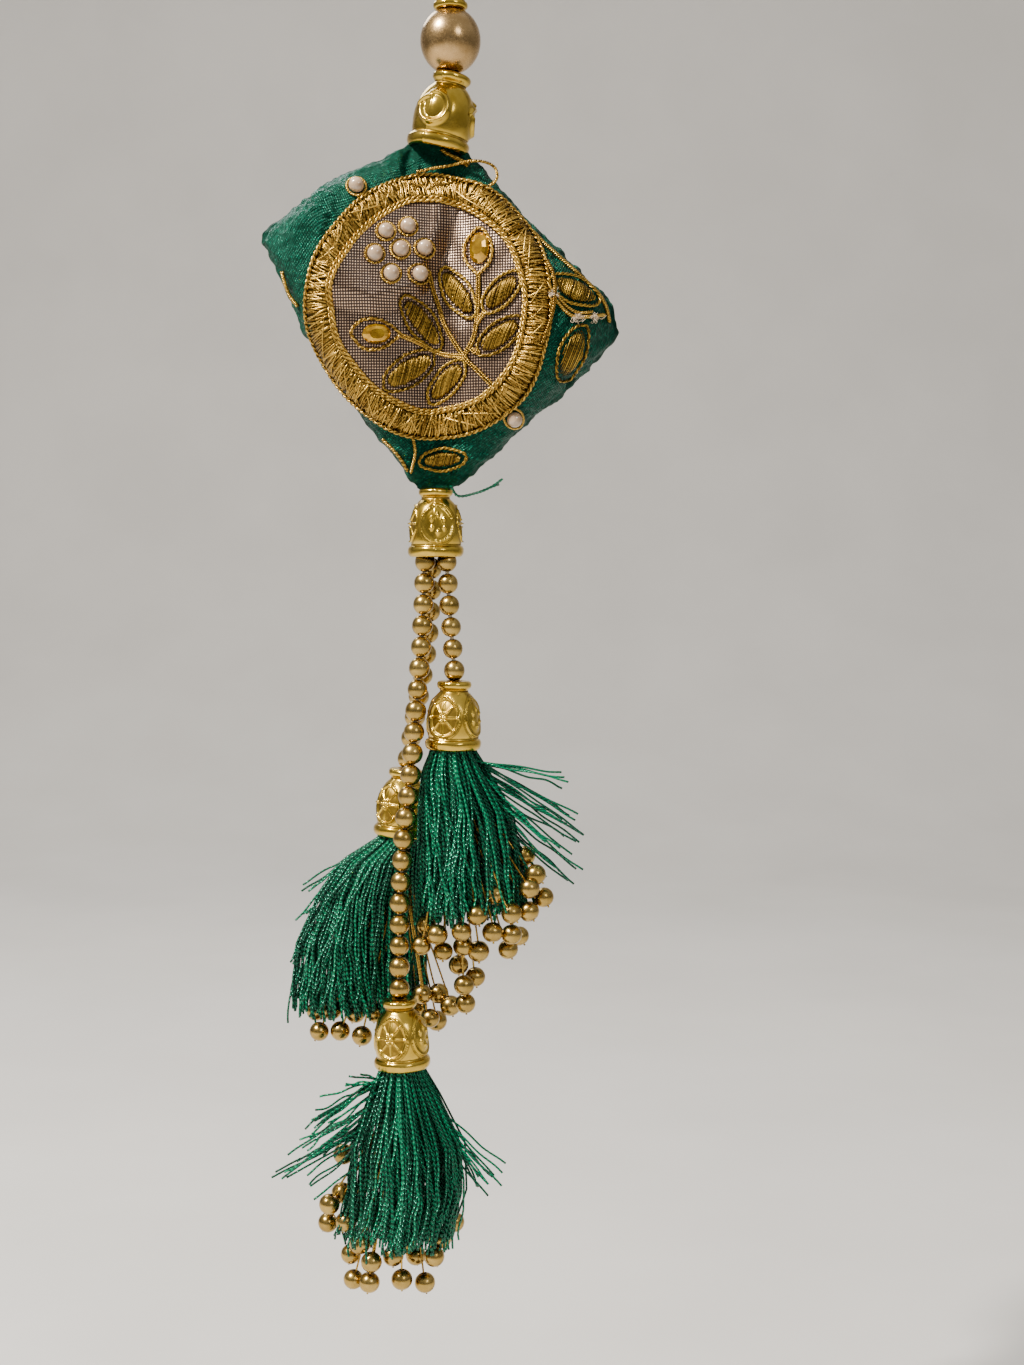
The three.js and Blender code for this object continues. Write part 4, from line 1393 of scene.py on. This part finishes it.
def tuft_mesh(front, centre, spread, count, lift):
    """Small tuft of loose curled fibres."""
    start = front.on(vec(*centre) + RNG.normal(0, spread * 0.3, (count, 2)), np.full(count, lift))
    reach = RNG.normal(0, spread * 0.5, (count, 3)) * MM + vec(0, -0.5, 0) * MM
    t = np.linspace(0, 1, 12)[None, :, None]
    curl = np.sin(t * RNG.uniform(3, 9, (count, 1, 3)) + RNG.uniform(0, 6, (count, 1, 3))) * 0.35 * MM
    return tube_mesh(start[:, None] + reach[:, None] * t + curl * t, 0.045 * MM, 4)


def make_fluff(front):
    places = ((22.4, -93.8), (26.9, -98.4), (30.4, -98.2))
    tufts = [tuft_mesh(front, place, 1.0, 34, 0.8) for place in places]
    piece("loose_fibres", joined(tufts), "fluff", "cushion")


def make_stray_green(front):
    """A frayed green thread that leaves the bottom gather to the right."""
    strands = []
    for end in ([12.5, -4, -129.9], [11.8, -3.6, -130.9]):
        route = vec([2.0, -2.4, -131.2], [3.6, -3.4, -133.3], [7.2, -3.6, -132.7], [10.0, -3.6, -131.6], end)
        path = smooth_curve((route + vec(HUNG_X, 0, 0)) * MM, 60)
        strands.append(tube_mesh(plied(path, 0.17 * MM, 2, 1.5 * MM, (0, 1, 0.1)), 0.15 * MM, 5))
    piece("bottom_frayed_thread", joined(strands), "rayon", "cushion")


def make_embroidery(front):
    make_tissue(front)
    make_border(front)
    make_leaves(front)
    make_stems(front)
    make_pearls(front)
    make_crystals(front)
    make_silk_cords(front)
    make_fluff(front)
    make_stray_green(front)


# ---------------------------------------------------------------- tassels

THREADS = 420
THREAD_RADIUS = 0.23
THREAD_STEPS = 34
LOCKS = 30
THREADS_PER_STRAY = 4
# Skirt outline: the floor where the threads leave the cap's mouth
MOUTH_FLOOR = 2

# Ends of the threads that stand out of each tassel
STRAYS = {
    "tassel_1": [(-17.9, -9, -251.3), (-23.5, -12, -255.7), (-25.6, -9, -258.5), (-25.8, -12, -261.3),
                 (-27.0, -6, -265.2), (-30.8, -13, -266.7), (-31.8, -9, -270.0), (-26.2, -11, -270.6),
                 (-23.4, -8, -265.6), (11.0, -9, -268.5), (10.9, -12, -269.2), (9.0, -8, -271.8)],
    "tassel_2": [(24.7, -8, -190.0), (26.6, -5, -198.1), (28.2, -9, -200.7), (28.1, -6, -208.5),
                 (23.8, -6, -210.3), (21.6, -9, -202.2), (24.4, -4, -199.8), (18.8, -5, -211.1)],
    "tassel_3": [(-29.0, 9, -220.0), (-31.8, 8, -231.0), (-27.0, 7, -214.0)],
}
# Places of the beads that hang in each tassel
BUNCHES = {
    "tassel_1": [
        (-22.6, -6, -276.7), (-23.2, -3, -281.5), (-20.4, -2, -275.7), (-19.3, -6, -280.3),
        (-20.0, -3, -267.4), (-17.7, -7, -291.7), (-14.3, -9.5, -291.4), (-7.8, -9, -291.0),
        (-3.2, -7.5, -292.2),
        (-13.8, -10.5, -286.9), (-9.6, -8, -286.6), (-1.3, -8, -286.7), (-18.3, -6, -286.9),
        (-16.2, -9, -283.7), (-5.2, -4, -287.9), (2.7, -5, -280.7), (0.1, -6, -283.7), (-7.8, -4, -285.5),
    ],
    "tassel_2": [
        (17.0, -3, -206.3), (19.1, -6, -209.6), (20.8, -4, -214.5), (17.9, -8, -212.0), (14.3, -9, -216.8),
        (17.8, -6, -217.0), (11.0, -7, -213.5), (7.4, -9, -217.2), (4.3, -9, -220.5), (10.5, -8, -220.8),
        (-0.6, -8, -221.3), (-3.9, -6.5, -223.8), (0.5, -6, -225.1), (4.5, -5, -224.3), (7.6, -5, -225.3),
        (14.3, -6, -221.7), (13.6, -3, -225.3), (15.9, 0, -223.2), (3.5, -2, -228.7), (4.7, -5, -232.2),
        (6.9, -1.5, -231.3), (4.9, -3, -236.4), (-3.0, -4, -220.3),
    ],
    "tassel_3": [
        (-25.9, 8, -244.9), (-21.5, 8, -244.8), (-16.9, 7, -245.6), (-26.8, 11, -241.3), (-23.4, 10, -240.8),
        (-18.5, 10, -241.5), (-14.3, 10, -241.5), (-4.3, 6, -236.6), (-1.0, 8.5, -237.0), (1.6, 6, -239.0),
        (-2.6, 5, -241.4), (-1.4, 9.5, -243.0), (-5.4, 10, -240.2), (-10.2, 8, -242.4),
    ],
}
BUNCH_BEAD_RADIUS = 2.1


def skirt_floors(node):
    """Outline of a CAD skirt from the top down: centre, half width and half depth at each height."""
    placed = np.array(frame["nodes"][node].matrix_world)
    points = np.array([tuple(v.co) for v in frame["nodes"][node].data.vertices])
    points = points @ placed[:3, :3].T + placed[:3, 3]
    floors = []
    for z in sorted(set(np.round(points[:, 2], 5)), reverse=True):
        level = points[np.abs(points[:, 2] - z) < 2e-5]
        low, high = level.min(0), level.max(0)
        floors.append([*(low + high)[:2] / 2, z, *(high - low)[:2] / 2])
    return np.array(floors)


# How much longer the threads are than the CAD skirt at its middle, and the change towards the right
SKIRT_HEMS = {"tassel_1": (0.4, 0.0), "tassel_2": (0.8, -0.4), "tassel_3": (2.6, -1.2)}


def outline_at(floors, z):
    """A skirt's centre, half width and half depth at a height."""
    return (np.interp(-z, -floors[:, 2], floors[:, i]) for i in (0, 1, 3, 4))


def thread_paths(floors, count, steps, hem):
    """Threads that fill a skirt's outline and gather in locks, each with its own waves and length."""
    lock = RNG.integers(0, LOCKS, count)
    lock_turn = RNG.uniform(0, 2 * math.pi, LOCKS)
    lock_sweep = RNG.normal(0, 0.3, LOCKS)
    turn = lock_turn[lock] + RNG.normal(0, 0.42, count)
    share = np.sqrt(RNG.uniform(0.0, 1.0, count)) * (1 + 0.03 * RNG.normal(size=count))
    end_jitter = RNG.normal(0, 1.0, count) + RNG.normal(0, 0.9, LOCKS)[lock]
    top, bottom = floors[0, 2], floors[-1, 2]
    t = np.linspace(0, 1, steps)
    paths = np.zeros((count, steps, 3))
    for k in range(count):
        longer = hem[0] + hem[1] * share[k] * math.cos(turn[k]) + end_jitter[k]
        z = top + (bottom - longer * MM - top) * t
        middle_x, middle_y, half_width, half_depth = outline_at(floors, z)
        loose = np.clip((t - 0.3) / 0.7, 0, 1)
        gathered = 0.45 * (lock_turn[lock[k]] - turn[k]) + lock_sweep[lock[k]]
        twist = turn[k] + (gathered + 0.12 * RNG.normal()) * loose
        x = middle_x + half_width * share[k] * np.cos(twist)
        y = middle_y + half_depth * share[k] * np.sin(twist)
        for axis_values in (x, y):
            size = RNG.uniform(0.08, 0.4)
            waves = RNG.uniform(2.5, 6.5)
            axis_values += size * MM * loose * np.sin(waves * 2 * math.pi * t + RNG.uniform(0, 6))
        flare = RNG.normal(0.2, 0.9) * MM * loose ** 3
        x += flare * np.cos(twist)
        y += flare * np.sin(twist)
        paths[k] = np.stack([x, y, z], axis=1)
    return paths


def stray_paths(floors, ends, steps):
    """Threads that leave the bundle at its flank and stand out, nearly straight, to their ends."""
    rows = []
    neck = floors[MOUTH_FLOOR, :3]
    for end in ends:
        goal = vec(end[0] + HUNG_X, end[1], end[2]) * MM
        for _ in range(THREADS_PER_STRAY):
            aim = goal + RNG.normal(0, 1.3, 3) * MM
            out = np.hypot(aim[0] - neck[0], aim[1] - neck[1])
            leave_z = min(aim[2] + RNG.uniform(0.3, 0.55) * out, neck[2] - 2 * MM)
            middle_x, middle_y, half_width, half_depth = outline_at(floors, leave_z)
            away = unit(aim - vec(middle_x, middle_y, aim[2]))
            leave = vec(middle_x + away[0] * half_width * 0.92, middle_y + away[1] * half_depth * 0.92,
                        leave_z)
            start = neck + (leave - neck) * vec(0.45, 0.45, 0.4)
            line = smooth_curve([neck + vec(0, 0, 3 * MM), neck, start, leave, aim], steps)
            t = np.linspace(0, 1, steps)[:, None]
            kink = np.sin(t * RNG.uniform(9, 24, 3) + RNG.uniform(0, 6, 3)) * RNG.uniform(0.1, 0.4) * MM
            rows.append(line + kink * t)
    return np.array(rows)


def make_skirt(name):
    """The threads of a tassel, filling the CAD skirt's outline; returns the outline."""
    floors = skirt_floors(f"{name}_thread_skirt")
    bundle = thread_paths(floors, THREADS, THREAD_STEPS, SKIRT_HEMS[name])
    paths = np.concatenate([bundle, stray_paths(floors, STRAYS[name], THREAD_STEPS)])
    mesh = tube_mesh(paths, THREAD_RADIUS * MM, 5)
    threads = piece(f"{name}_threads", mesh, "rayon", None, (f"{name}_thread_skirt",))
    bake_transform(threads)
    return floors


def make_bunch(name, floors):
    """Bored beads, each on a gold thread that comes out of the skirt."""
    knot = floors[MOUTH_FLOOR, :3] - vec(0, 0, 4 * MM)
    beads, threads = [], []
    for place in BUNCHES[name]:
        centre = vec(place[0] + HUNG_X, place[1], place[2]) * MM
        middle = knot + (centre - knot) * 0.5
        axis = unit(middle - centre + RNG.normal(0, 1.6, 3) * MM)
        radius = BUNCH_BEAD_RADIUS * (1 + 0.03 * RNG.normal()) * MM
        verts, faces, attributes = bead_mesh(radius, radius * 0.97, 0.6 * MM, 26, 40)
        beads.append((pointed_along(verts, axis) + centre, faces, attributes))
        line = smooth_curve([knot, middle, centre + axis * radius * 1.1, centre - axis * radius * 1.1], 26)
        threads.append(line)
    piece(f"{name}_beads", joined(beads), "bead", f"{name}_skirt", (f"{name}_bead_bunch",))
    piece(f"{name}_bead_threads", tube_mesh(np.array(threads), 0.2 * MM, 6), "zari", f"{name}_skirt")


def make_tassels():
    for name in ("tassel_1", "tassel_2", "tassel_3"):
        make_bunch(name, make_skirt(name))


make_camera()
make_cord_loop()
make_lights()
make_stage()
make_caps()
make_strand_beads()
make_large_bead()
dress_strings()
make_embroidery(make_cushion())
make_tassels()
